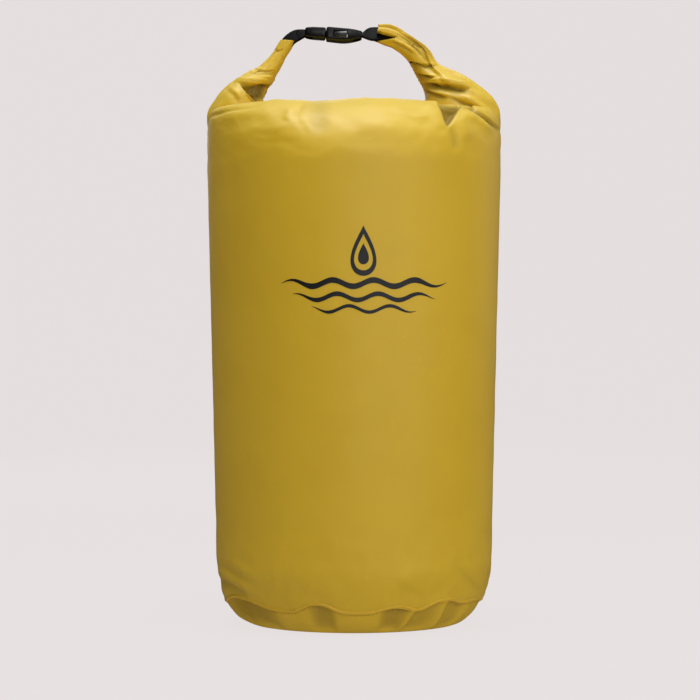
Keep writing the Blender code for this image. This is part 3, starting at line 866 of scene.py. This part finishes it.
def stitch_row(name, path, outward, length, gap, radius):
    """A row of thread: each stitch rises out of the cloth, runs along it and dives back in."""
    run = run_along(path)
    rings, sides = 6, 6
    share = np.linspace(0, 1, rings)
    rise = (1.1 * np.sin(math.pi * share) - 0.5) * radius
    thick = (0.7 + 0.3 * np.sin(math.pi * share)) * radius
    turn = full_turn(sides)[None, :, None]
    last = (rings - 1) * sides
    cells = quads(rings, sides, closed=True) + [range(sides - 1, -1, -1), range(last, last + sides)]
    points, faces = [], []
    for k in range(int(run[-1] / (length + gap))):
        at = k * (length + gap) + share * length
        line = read_along(run, path, at)
        out = read_along(run, outward, at)
        side = np.cross(line[-1] - line[0], out[2])
        side /= np.linalg.norm(side)
        middle = line + out * rise[:, None]
        around = side * np.cos(turn) + out[:, None] * np.sin(turn)
        faces += [[len(points) + i for i in cell] for cell in cells]
        points += list((middle[:, None] + around * thick[:, None, None]).reshape(-1, 3))
    obj = mesh_from(name, points, faces, THREAD)
    return obj


def on_rear(across, z, lift):
    """A point over the rear of the skin, at a distance across it, and the way out."""
    hit, way = cast_out(SKIN_SURFACE, BACK + across / float(wall_radius(z)), z)
    return hit + way * lift, way


def side_strip(name, profile, rows, material, slot, node):
    """A strip up the rear. Its profile is a list of (distance across, height over the skin)."""
    table = [
        [on_rear(across * MM, z, lift * MM)[0] for across, lift in profile]
        for z in np.linspace(SIDE_SEAM_LOW.z, SIDE_SEAM_HIGH.z, rows)
    ]
    obj = grid(name, np.array(table), material, closed=False)
    follow_press(obj)
    stands_for(obj, slot, node)


FELL_PROFILE = [(-6, -0.5), (-5.6, 0.35), (-4.6, 0.75), (0, 0.8), (4.6, 0.75), (5.6, 0.35), (6, -0.5)]
TAPE_PROFILE = [(-8, -1.4), (-4, -1.3), (0, -1.3), (4, -1.3), (8, -1.4)]

SIDE_STITCH = (2.8 * MM, 0.9 * MM, 0.28 * MM)
BASE_STITCH = (2.8 * MM, 1.0 * MM, 0.26 * MM)

side_strip("side_seam_fell", FELL_PROFILE, 160, SEAM_CLOTH, "coated_fabric", "side_seam")
side_strip("side_seam_film", TAPE_PROFILE, 80, TAPE, "seam_tape", "side_seam_tape")

for number, across in enumerate((-3.2, 3.2)):
    heights = np.linspace(SIDE_SEAM_LOW.z + 2 * MM, SIDE_SEAM_HIGH.z - 2 * MM, 260)
    spots, ways = zip(*[on_rear(across * MM, z, 0.85 * MM) for z in heights])
    row = stitch_row(f"side_seam_stitches_{number}", np.array(spots), np.array(ways), *SIDE_STITCH)
    follow_press(row)


def make_seam_film():
    """The clear tape welded over the inside of the base seam."""
    rows = []
    for offset in (-7, -4.5, -2, 2, 4.5, 7):
        surface = BASE_SURFACE if offset < 0 else SKIN_SURFACE
        row = []
        for angle, z in zip(seam_angle[::2], ridge_z[::2]):
            hit, way = cast_out(surface, angle, z + offset * MM)
            row.append(hit - way * FILM_DEPTH)
        rows.append(row)
    obj = grid("base_seam_film", np.array(rows), TAPE)
    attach(obj, "sack")
    stands_for(obj, "seam_tape", "base_seam_tape")


def make_base_stitches():
    """One row of stitches just under the base seam."""
    path, outward = [], []
    for angle, z in zip(seam_angle, ridge_z):
        hit, way = cast_out(BASE_SURFACE, angle, z - STITCH_DROP)
        path.append(hit)
        outward.append((way + Vector((0, 0, -0.5))).normalized())
    row = stitch_row("base_seam_stitches", np.array(path), np.array(outward), *BASE_STITCH)
    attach(row, "sack")


make_seam_film()
make_base_stitches()


# ---- rolled mouth ----

LOFT_ROWS = 210
LOFT_COLUMNS = 150

# Sections of the turned-up ends, from the shoulder to the tip, in mm:
# x and z of the outer side, x and z of the inner side, half-width front to back.
LEFT_SECTIONS = [
    (-136, 458, -92, 464, 33),
    (-139.5, 478, -87, 478, 36),
    (-127.5, 501, -86, 492, 34),
    (-102, 520.5, -82.5, 505, 26),
    (-89, 527, -74, 519, 17),
    (-78, 538.5, -66.5, 533, 14),
    (-69, 552, -56, 551, 13),
]
RIGHT_SECTIONS = [
    (136, 452, 72, 455, 33),
    (139, 470, 66, 470, 36),
    (134.5, 494, 67, 490, 34),
    (107, 516.5, 66, 505, 27),
    (79, 530, 59, 520, 17),
    (70, 544, 49.5, 535.5, 14),
    (54.5, 555.5, 38, 544.5, 13),
    (36, 565, 27, 549, 13),
    (24, 566, 19, 552.5, 13),
]
LEFT_FOLDS = [
    ([(-116, 515), (-98, 516), (-76, 514)], 2.4, 1.6, "ridge"),
    ([(-110, 512), (-92, 492), (-72, 509)], 3.0, 6.5, "pocket"),
    ([(-75, 510), (-94, 511.5), (-112, 513)], 7.0, 3.5, "tuck"),
    ([(-101, 503), (-96, 497), (-90, 491)], 1.8, 1.6, "pleat"),
    ([(-95, 502), (-90, 497), (-85, 491)], 1.8, 1.4, "pleat"),
    ([(-121, 508), (-113, 502), (-108, 494)], 3.2, 0.7, "pleat"),
    ([(-73, 524), (-84, 524), (-97, 526)], 2.4, 2.2, "tuck"),
    ([(-74, 519), (-88, 519.5), (-104, 521)], 1.8, 1.2, "pleat"),
    ([(-66, 545), (-72, 543), (-78, 546)], 1.8, 1.2, "tuck"),
]
RIGHT_FOLDS = [
    ([(38, 558.5), (50, 552.5), (64, 545), (72, 536)], 3.0, 2.0, "tuck"),
    ([(44, 553), (55, 546), (65, 537), (72, 528)], 3.0, 2.6, "tuck"),
    ([(80, 529), (72, 529.5), (62, 530.5), (42, 534)], 3.6, 4.8, "tuck"),
    ([(80, 518), (70, 519), (61, 520), (48, 528)], 3.2, 5.0, "tuck"),
    ([(34, 553), (46, 548), (58, 540)], 2.0, 1.4, "pleat"),
    ([(68, 517), (88, 515), (114, 510)], 3.0, 2.2, "ridge"),
    ([(112, 507), (88, 511), (62, 512)], 6.0, 7.0, "tuck"),
    ([(90, 499), (78, 502), (60, 507)], 3.6, 4.0, "tuck"),
    ([(64, 503), (80, 503), (98, 500)], 3.0, 1.6, "ridge"),
    ([(97, 503), (114, 495), (136, 477)], 3.2, 2.4, "ridge"),
    ([(138, 470), (118, 489), (90, 500)], 4.0, 4.0, "tuck"),
    ([(98, 512), (113, 503), (130, 489)], 4.0, 1.0, "pleat"),
]
NOTCH_TIP = (41, 554)
NOTCH_MOUTH = (18, 550.5, 561)


def middle_line(sections):
    """Points halfway between the outer and the inner side of each section."""
    return np.stack([(sections[:, k] + sections[:, k + 2]) / 2 for k in (0, 1)], -1)


def loft(name, sections):
    """Soft closed cloth through sections; it turns from oval at the shoulder to a flatter box
    at the tip, and is closed at both ends."""
    table = np.array(sections) * MM
    knots = run_along(middle_line(table))
    at = np.linspace(0, knots[-1], LOFT_ROWS)
    shape = spline(knots, table, at)
    turn = full_turn(LOFT_COLUMNS)
    points = np.empty((LOFT_ROWS, LOFT_COLUMNS, 3))
    for i, (outer_x, outer_z, inner_x, inner_z, half_y) in enumerate(shape):
        power = 2 / (2.2 + 1.0 * smooth(at[i] / knots[-1], 0.45, 0.75))
        across = blunt(np.cos(turn), power)
        points[i, :, 0] = (outer_x + inner_x) / 2 + (outer_x - inner_x) / 2 * across
        points[i, :, 1] = half_y * blunt(np.sin(turn), power)
        points[i, :, 2] = (outer_z + inner_z) / 2 + (outer_z - inner_z) / 2 * across
    obj = grid(name, points, CLOTH)
    tip = Vector(points[-1].mean(0) - points[-2].mean(0)).normalized()
    close_end(obj, 0, LOFT_COLUMNS)
    close_end(obj, (LOFT_ROWS - 1) * LOFT_COLUMNS, LOFT_COLUMNS, -tip * 2.5 * MM)
    return obj, shape


def pleat_along(obj, pleats):
    """Pleats that run along a loft and wind around it: (angle at the start, angle at the end,
    half-width in radians, depth in mm, share of the length where it starts)."""
    points = read_vectors(obj, "co")
    normals = read_vectors(obj, "normal")
    count = LOFT_ROWS * LOFT_COLUMNS
    share = np.repeat(np.linspace(0, 1, LOFT_ROWS), LOFT_COLUMNS)
    turn = np.tile(full_turn(LOFT_COLUMNS), LOFT_ROWS)
    move = np.zeros(count)
    for start, end, half, depth, begins in pleats:
        centre = start + (end - start) * share
        off = (turn - centre + math.pi) % (2 * math.pi) - math.pi
        across = off / half
        fade = smooth(share, begins, begins + 0.15)
        move += across * np.exp(-across * across) * PLEAT_PEAK * depth * MM * fade
    points[:count] += normals[:count] * move[:, None]
    write_points(obj, points)


def open_notch(obj):
    """Opens the front of the right tip into a wedge, where the webbing goes in between the
    upper and the lower flap of the cloth."""
    points = read_vectors(obj, "co")
    x, z = points[:, 0] / MM, points[:, 2] / MM
    run = np.clip((NOTCH_TIP[0] - x) / (NOTCH_TIP[0] - NOTCH_MOUTH[0]), 0, 1.2)
    low = NOTCH_TIP[1] + (NOTCH_MOUTH[1] - NOTCH_TIP[1]) * run
    high = NOTCH_TIP[1] + (NOTCH_MOUTH[2] - NOTCH_TIP[1]) * run
    inside = smooth(z, low - 0.6, low + 0.8) * (1 - smooth(z, high - 0.8, high + 0.6))
    inside = inside * smooth(run, 0.0, 0.15) * (points[:, 1] < 0)
    points[:, 1] += inside * (4 * MM - points[:, 1])
    write_points(obj, points)


LEFT_PLEATS = [
    (1.2, 0.9, 0.10, 0.5, 0.5),
    (-1.3, -1.0, 0.09, 0.45, 0.5),
    (2.9, 3.3, 0.12, 0.6, 0.4),
    (0.45, 0.2, 0.12, 1.0, 0.03),
    (-0.35, -0.5, 0.1, 0.9, 0.08),
]
RIGHT_PLEATS = [
    (0.35, 0.5, 0.1, 1.0, 0.03),
    (-0.45, -0.7, 0.12, 1.1, 0.08),
    (-2.4, -0.6, 0.16, 1.3, 0.35),
    (-1.4, 0.4, 0.14, 1.1, 0.4),
    (0.6, 2.2, 0.15, 1.1, 0.35),
    (2.2, 3.8, 0.16, 1.0, 0.4),
]


def shifted(folds, dx, dz):
    """The same folds a little further along, for the rear."""
    return [([(x + dx, z + dz) for x, z in path], *rest) for path, *rest in folds]


def make_end(side, sections, pleats, folds, rear_shift, roughness, seed):
    """One turned-up end of the roll with its folds. Returns its sections, for its strip."""
    obj, shape = loft(f"roll_end_{side}", sections)
    pleat_along(obj, pleats)
    crease(obj, folds, side=-1)
    if side == "right":
        open_notch(obj)
    crease(obj, shifted(folds, *rear_shift), side=1)
    ripple(obj, roughness, 9 * MM, seed)
    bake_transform(obj)
    stands_for(obj, "coated_fabric", f"closure_roll_{side}")
    return shape


left_shape = make_end(
    "left", LEFT_SECTIONS, LEFT_PLEATS, LEFT_FOLDS, (3, -2), 0.5 * MM, 7
)
right_shape = make_end(
    "right", RIGHT_SECTIONS, RIGHT_PLEATS, RIGHT_FOLDS, (-3, -1), 0.4 * MM, 8
)

ROLL_ROUNDING = 2 / 2.7


def make_roll():
    """The rolled mouth between its turned-up ends: a flattened roll with the free edge of its
    outer turn lying along the rear."""
    half_y = (ROLL_HIGH.y - ROLL_LOW.y) / 2
    half_z = (ROLL_HIGH.z - ROLL_LOW.z) / 2
    turn = full_turn(96)
    free_edge = smooth(turn, 0.55, 0.62) * (1 - smooth(turn, 3.0, 4.2)) * 0.8 * MM
    y = blunt(np.cos(turn), ROLL_ROUNDING) * half_y + np.cos(turn) * free_edge
    z = blunt(np.sin(turn), ROLL_ROUNDING) * half_z + np.sin(turn) * free_edge
    rows = []
    for x in np.linspace(-98 * MM, 76 * MM, 120):
        sag = 0.8 * MM * math.sin(x / (31 * MM))
        rows.append(np.stack([np.full_like(y, x), y, TILT_AXIS.z + z + sag], -1))
    obj = grid("rolled_mouth", np.array(rows), CLOTH)
    ripple(obj, 0.7 * MM, 13 * MM, 9)
    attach(obj, "roll")
    stands_for(obj, "coated_fabric", "closure_roll")


make_roll()


# ---- ribbons: stiffener and webbing ----


def band_frame(path, twist):
    """Directions along, across and through a band at each point of its path in the XZ plane."""
    ahead = np.gradient(path, axis=0)
    ahead /= np.linalg.norm(ahead, axis=1)[:, None]
    flat = np.stack([-ahead[:, 2], np.zeros(len(path)), ahead[:, 0]], -1)
    wide = np.array([0.0, 1.0, 0.0])[None] * np.cos(twist)[:, None] + flat * np.sin(twist)[:, None]
    thick = np.cross(wide, ahead)
    thick /= np.linalg.norm(thick, axis=1)[:, None]
    return ahead, wide, thick


def ribbon(name, path, twist, width, thickness, material):
    """A woven band along a path in the XZ plane; twist is its turn about the path at each point.
    Its section has rounded selvedges."""
    _, wide, thick = band_frame(path, twist)
    sides = 28
    turn = full_turn(sides)
    across = blunt(np.cos(turn), 0.35) * width / 2
    over = blunt(np.sin(turn), 0.5) * thickness / 2
    points = path[:, None] + wide[:, None] * across[:, None] + thick[:, None] * over[:, None]
    obj = grid(name, points, material)
    close_end(obj, 0, sides)
    close_end(obj, (len(path) - 1) * sides, sides)
    return obj


def in_xz(points):
    """Points (x, z) as points of space."""
    return np.array([(x, 0, z) for x, z in points])


STRIP_POINTS = 60
STRIP_WIDTH = 16 * MM
STRIP_THICKNESS = 0.8 * MM


def make_stiffener(side, shape):
    """The stiff strip inside a turned-up end, along the middle of its cloth."""
    rows = shape[int(len(shape) * 0.12) : int(len(shape) * 0.93)]
    path = even_path(in_xz(middle_line(rows))[::17], STRIP_POINTS)
    flat = np.zeros(STRIP_POINTS)
    name = f"stiffener_strip_{side}"
    obj = ribbon(name, path, flat, STRIP_WIDTH, STRIP_THICKNESS, STIFFENER)
    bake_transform(obj)
    stands_for(obj, "stiffener", f"stiffener_{side}")


make_stiffener("left", left_shape)
make_stiffener("right", right_shape)

LEFT_STRAP = [(-69, 540), (-66, 546), (-62, 552), (-56, 556.5), (-49, 558.8), (-42, 559.8)]
RIGHT_STRAP = [(2, 556), (9, 557.3), (18, 558.6), (28, 558), (36, 555.5), (43, 551), (50, 545.5)]
STRAP_WIDTH = 20 * MM
STRAP_THICKNESS = 1.4 * MM
STRAP_POINTS = 90
LAYER_LIFT = 0.78 * MM
THREAD_RADIUS = 0.35 * MM
TACK_TURNS = 9
TACK_STEP = 0.85 * MM
TACK_HALF_LENGTH = 1.8 * MM


def make_strap(side, line, twist, start, end):
    """Doubled webbing of one side, sewn together between the roll and the buckle bar: two
    layers, and a bar tack of zigzag thread over and under them."""
    path = even_path(in_xz(line) * MM, STRAP_POINTS)
    ahead, wide, thick = band_frame(path, twist)
    tack_low, tack_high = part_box(f"bartack_{side}")
    i = int(np.argmin(np.abs(path[:, 0] - (tack_low.x + tack_high.x) / 2)))
    for number, sign in enumerate((1, -1)):
        lifted = path + thick * sign * LAYER_LIFT
        name = f"strap_{side}_{number}"
        layer = ribbon(name, lifted, twist, STRAP_WIDTH, STRAP_THICKNESS, WEBBING)
        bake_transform(layer)
        centre = path[i] + thick[i] * sign * (LAYER_LIFT + STRAP_THICKNESS / 2 + THREAD_RADIUS / 2)
        turns = np.arange(-TACK_TURNS, TACK_TURNS + 1)
        swing = np.where(turns % 2 == 0, 1.0, -1.0) * TACK_HALF_LENGTH
        zigzag = centre + wide[i] * (turns * TACK_STEP)[:, None] + ahead[i] * swing[:, None]
        name = f"tack_{side}_{number}"
        tack = tube_along(name, zigzag, THREAD_RADIUS, 8, TACK_THREAD, closed=False)
        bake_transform(tack)
        if number == 0:
            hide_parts(f"webbing_{side}")
            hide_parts(f"bartack_{side}")


share = np.linspace(0, 1, STRAP_POINTS)
left_twist = np.radians(36) * smooth(share, 0.1, 0.35) * (1 - 0.45 * smooth(share, 0.6, 1.0))
right_twist = np.radians(42) * smooth(share, 0.0, 0.3) * (1 - smooth(share, 0.75, 1.0) * 0.6)
LEFT_TAB_BEND = (LEFT_TIP + Vector((-5, 0, -3)) * MM, LEFT_TIP + Vector((6, 0, 3)) * MM)
RIGHT_TAB_BEND = (RIGHT_TIP + Vector((5, 0, -4)) * MM, RIGHT_TIP + Vector((-8, 0, 3)) * MM)
make_strap("left", LEFT_STRAP, left_twist, *LEFT_TAB_BEND)
make_strap("right", RIGHT_STRAP, right_twist, *RIGHT_TAB_BEND)


# ---- buckle ----


def round_edges(obj, width):
    bevel = obj.modifiers.new("round", "BEVEL")
    bevel.width = width
    bevel.segments = 3
    bevel.limit_method = "ANGLE"
    bevel.angle_limit = math.radians(38)
    bevel.harden_normals = True


def soften_stiffener():
    """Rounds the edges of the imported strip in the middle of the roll."""
    obj = frame["nodes"]["closure_stiffener"]
    mesh = obj.data
    if "custom_normal" in mesh.attributes:
        mesh.attributes.remove(mesh.attributes["custom_normal"])
    mesh.materials.clear()
    mesh.materials.append(STIFFENER)
    mesh.shade_smooth()
    weld = obj.modifiers.new("weld", "WELD")
    weld.merge_threshold = 0.01 * MM
    round_edges(obj, 0.1 * MM)


BUCKLE_UP = Vector(JOINTS["arm_pinch"]["axis"])
BUCKLE_ALONG = Vector((0, 1, 0)).cross(BUCKLE_UP)
PLUG_LOW, PLUG_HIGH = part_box("buckle_plug")
SOCKET_LOW, SOCKET_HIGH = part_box("buckle_socket")
BUCKLE_MIDDLE = (Vector((PLUG_LOW.x, 0, PLUG_HIGH.z)) + Vector((SOCKET_HIGH.x, 0, SOCKET_LOW.z))) / 2
BUCKLE_STATIONS = np.array([-27, -20, -8, 0, 8, 15, 21, 27]) * MM
BUCKLE_THICKNESS = np.array([0.86, 1.04, 1.08, 1.1, 1.12, 1.04, 0.84, 0.56])
BUCKLE_LIFT = np.array([-0.7, -0.5, 0.0, 0.0, 0.0, 0.6, 1.4, 2.2]) * MM
BUCKLE_WIDTH = np.array([0.92, 0.98, 1.0, 1.0, 1.0, 1.0, 0.96, 0.86])
PAD_SWELL = 1.05
PAD_BULGE = 1.3 * MM
PAD_FACE = 11.5 * MM
PAD_HALF_HEIGHT = 2.8 * MM


def slice_up(work, direction, distances):
    """Adds edges where planes at the given distances (mm) from the buckle's middle cut it."""
    for distance in distances:
        cut = BUCKLE_MIDDLE + direction * float(distance * MM)
        whole = list(work.verts) + list(work.edges) + list(work.faces)
        bmesh.ops.bisect_plane(work, geom=whole, plane_co=cut, plane_no=direction, dist=1e-6)


def shape_buckle(node, name, width, material, swell=1.0, bulge=0.0):
    """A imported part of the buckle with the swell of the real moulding: thick at its middle,
    thin at its ends, with rounded edges. swell widens it from the buckle's centre line, and
    bulge rounds its outer face."""
    source = frame["nodes"][node]
    to_world = np.array([BUCKLE_ALONG, (0, 1, 0), BUCKLE_UP]).T
    work = bmesh.new()
    work.from_mesh(source.data)
    bmesh.ops.remove_doubles(work, verts=work.verts, dist=0.01 * MM)
    bmesh.ops.dissolve_limit(
        work, angle_limit=math.radians(2), verts=work.verts, edges=work.edges, delimit=set()
    )
    slice_up(work, BUCKLE_ALONG, range(-26, 27, 2))
    if bulge:
        slice_up(work, BUCKLE_UP, range(-2, 3))
    for vert in work.verts:
        along, across, up = np.array(vert.co - BUCKLE_MIDDLE) @ to_world
        if abs(across) > PAD_FACE:
            across += math.copysign(bulge * max(0.0, 1 - (up / PAD_HALF_HEIGHT) ** 2), across)
        up = up * np.interp(along, BUCKLE_STATIONS, BUCKLE_THICKNESS)
        up += np.interp(along, BUCKLE_STATIONS, BUCKLE_LIFT)
        across *= np.interp(along, BUCKLE_STATIONS, BUCKLE_WIDTH) * swell
        vert.co = BUCKLE_MIDDLE + Vector(to_world @ np.array([along, across, up]))
    mesh = bpy.data.meshes.new(name)
    work.to_mesh(mesh)
    work.free()
    mesh.shade_smooth()
    obj = add_mesh(name, mesh, material)
    round_edges(obj, width)
    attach(obj, source["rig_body"])
    stands_for(obj, "buckle_plastic", node)


shape_buckle("buckle_plug", "buckle_plug_moulding", 0.8 * MM, BUCKLE)
shape_buckle("buckle_socket", "buckle_socket_moulding", 1.0 * MM, BUCKLE)
shape_buckle("release_arm_front", "release_pad_front", 0.5 * MM, PAD_WITH_PAINTED_HIGHLIGHT, PAD_SWELL, PAD_BULGE)
shape_buckle("release_arm_rear", "release_pad_rear", 0.5 * MM, PAD_WITH_PAINTED_HIGHLIGHT, PAD_SWELL, PAD_BULGE)
soften_stiffener()


# ---- print ----

# The print is laid out as seen from the front, in mm. A wave is its ends, height, thickness, phase.
PRINT_LIFT = 0.25 * MM
DROP_X = 9
DROP_HALF_WIDTH = 17
DROP_HALF_HEIGHT = 24
WAVE_SWING = 3.0
WAVE_LENGTH = 39
WAVES = [(-69, 88, 322, 5.2, 0.0), (-58, 77, 309, 4.2, 1.1), (-40, 59, 297.5, 3.0, 2.2)]


def print_on_skin(x, z):
    """The point of the front of the skin that is seen at (x, z) in mm, just over the cloth."""
    target = Vector((x * MM, 0, z * MM))
    way = (target - CAMERA_PLACE).normalized()
    return SKIN_SURFACE.ray_cast(CAMERA_PLACE, way)[0] - way * PRINT_LIFT


def print_shape(left, right, rows):
    """Cells of a strip between two outlines, as points on the skin and faces."""
    points = []
    for part in np.linspace(0, 1, rows + 1):
        for (ax, az), (bx, bz) in zip(left, right):
            points.append(print_on_skin(ax + (bx - ax) * part, az + (bz - az) * part))
    return points, quads(rows + 1, len(left), closed=False)


def wave_outline(x0, x1, z, thickness, phase):
    """Two edges of a brush-like wave line that thins towards its ends."""
    top, bottom = [], []
    for part in np.linspace(0, 1, 121):
        x = x0 + (x1 - x0) * part
        middle = z + WAVE_SWING * math.sin(2 * math.pi * (x - x0) / WAVE_LENGTH + phase)
        half = thickness / 2 * min(1.0, math.sin(math.pi * part) * 1.9) + 0.15
        top.append((x, middle + half))
        bottom.append((x, middle - half))
    return top, bottom


def drop_outline(z, scale):
    """Left half and right half of a droplet outline, from its point down to its foot."""
    left, right = [], []
    for turn in np.linspace(0, math.pi, 61):
        wide = DROP_HALF_WIDTH * scale * math.sin(turn) * math.sin(turn / 2) ** 1.3
        height = z + DROP_HALF_HEIGHT * scale * math.cos(turn)
        left.append((DROP_X - wide, height))
        right.append((DROP_X + wide, height))
    return left, right


def make_print():
    """A generic droplet over water lines."""
    left, right = drop_outline(353, 1.0)
    left_in, right_in = drop_outline(351.5, 0.72)
    shapes = [(left, left_in, 3), (right_in, right, 3), (*drop_outline(350, 0.42), 6)]
    shapes += [(*wave_outline(*wave), 3) for wave in WAVES]
    points, faces = [], []
    for one, other, rows in shapes:
        more_points, more_faces = print_shape(one, other, rows)
        first = len(points)
        points += more_points
        faces += [tuple(i + first for i in face) for face in more_faces]
    obj = mesh_from("front_print", points, faces, INK)
    layer = obj.data.uv_layers.new(name="cloth")
    for loop in obj.data.loops:
        co = obj.data.vertices[loop.vertex_index].co
        layer.data[loop.index].uv = (co.x, co.z)
    follow_press(obj)


make_print()


# ---- stage, light and camera ----

BACKDROP = linear((228, 222, 222))


def make_stage():
    """A pale floor that curves up into a backdrop. It mostly glows evenly, so that the
    background stays flat and the sack leaves only a faint shadow."""
    material, tree = new_nodes(bpy.data.materials, "pale_studio")
    glow = add_node(tree, "Emission", {"Color": BACKDROP, "Strength": 1.1})
    matt = add_node(tree, "BsdfDiffuse", {"Color": linear((150, 146, 146))})
    both = add_node(tree, "MixShader", {0: 0.1, 1: glow.outputs[0], 2: matt.outputs[0]})
    path = add_node(tree, "LightPath")
    bounce = calc(tree, "MULTIPLY", path.outputs["Is Diffuse Ray"], 1.15)
    dim = add_node(tree, "Emission", {"Color": linear((200, 196, 196)), "Strength": bounce})
    seen = {0: path.outputs["Is Camera Ray"], 1: dim.outputs[0], 2: both.outputs[0]}
    shaded(material, "MixShader", seen)
    rows = []
    for y, z in [(-7, 0), (-2, 0), (0, 0), (1.5, 0), (2.5, 0), (4.2, 0.15), (5.2, 1.0), (5.4, 5.5)]:
        rows.append([(-8, y, z - 0.4 * MM), (8, y, z - 0.4 * MM)])
    obj = grid("studio_floor", np.array(rows, float), material, closed=False)
    refine(obj, 3)


# Soft square lights: name, place, height they point at on the axis, size (m) and power (W).
LIGHTS = [
    ("front_light", (0.2, -2.6, 1.0), 0.25, 1.0, 9.5),
    ("front_right_light", (0.9, -2.3, 0.9), 0.25, 1.2, 4.2),
    ("high_right_light", (1.1, -1.8, 1.6), 0.3, 1.2, 3.9),
    ("right_light", (1.7, -1.9, 0.9), 0.25, 1.3, 8.4),
    ("right_rear_light", (1.9, 1.2, 0.9), 0.25, 1.2, 3.3),
    ("top_light", (-0.03, -0.15, 1.9), 0.42, 1.0, 21),
    ("top_front_light", (0.1, -1.0, 1.9), 0.42, 1.0, 2.7),
    ("low_right_light", (1.9, -1.0, 0.35), 0.15, 0.9, 1.4),
    ("rear_light", (-0.5, 2.6, 1.2), 0.25, 1.4, 14),
]


def add_light(name, place, target_height, size, power):
    data = bpy.data.lights.new(name, "AREA")
    data.size = size
    data.energy = power
    obj = bpy.data.objects.new(name, data)
    obj.location = place
    way = Vector((0, 0, target_height)) - Vector(place)
    obj.rotation_euler = way.to_track_quat("-Z", "Y").to_euler()
    SCENE.collection.objects.link(obj)


def make_world():
    """Soft white light from all around; the camera sees the backdrop's colour instead."""
    world, tree = new_nodes(bpy.data.worlds, "soft_world")
    sky = add_node(tree, "Background", {"Color": (1, 1, 1, 1), "Strength": 0.34})
    beyond = add_node(tree, "Background", {"Color": BACKDROP, "Strength": 1.0})
    ray = add_node(tree, "LightPath").outputs["Is Camera Ray"]
    shaded(world, "MixShader", {0: ray, 1: sky.outputs[0], 2: beyond.outputs[0]}, "OutputWorld")
    world.cycles_visibility.glossy = False
    SCENE.world = world
    SCENE.view_settings.view_transform = "Standard"


def add_camera():
    data = bpy.data.cameras.new("camera")
    data.angle = CAMERA_ANGLE
    camera = bpy.data.objects.new("camera", data)
    camera.location = CAMERA_PLACE
    camera.rotation_euler = (math.pi / 2, 0, 0)
    SCENE.collection.objects.link(camera)
    SCENE.camera = camera


make_stage()
for light in LIGHTS:
    add_light(*light)
make_world()
add_camera()
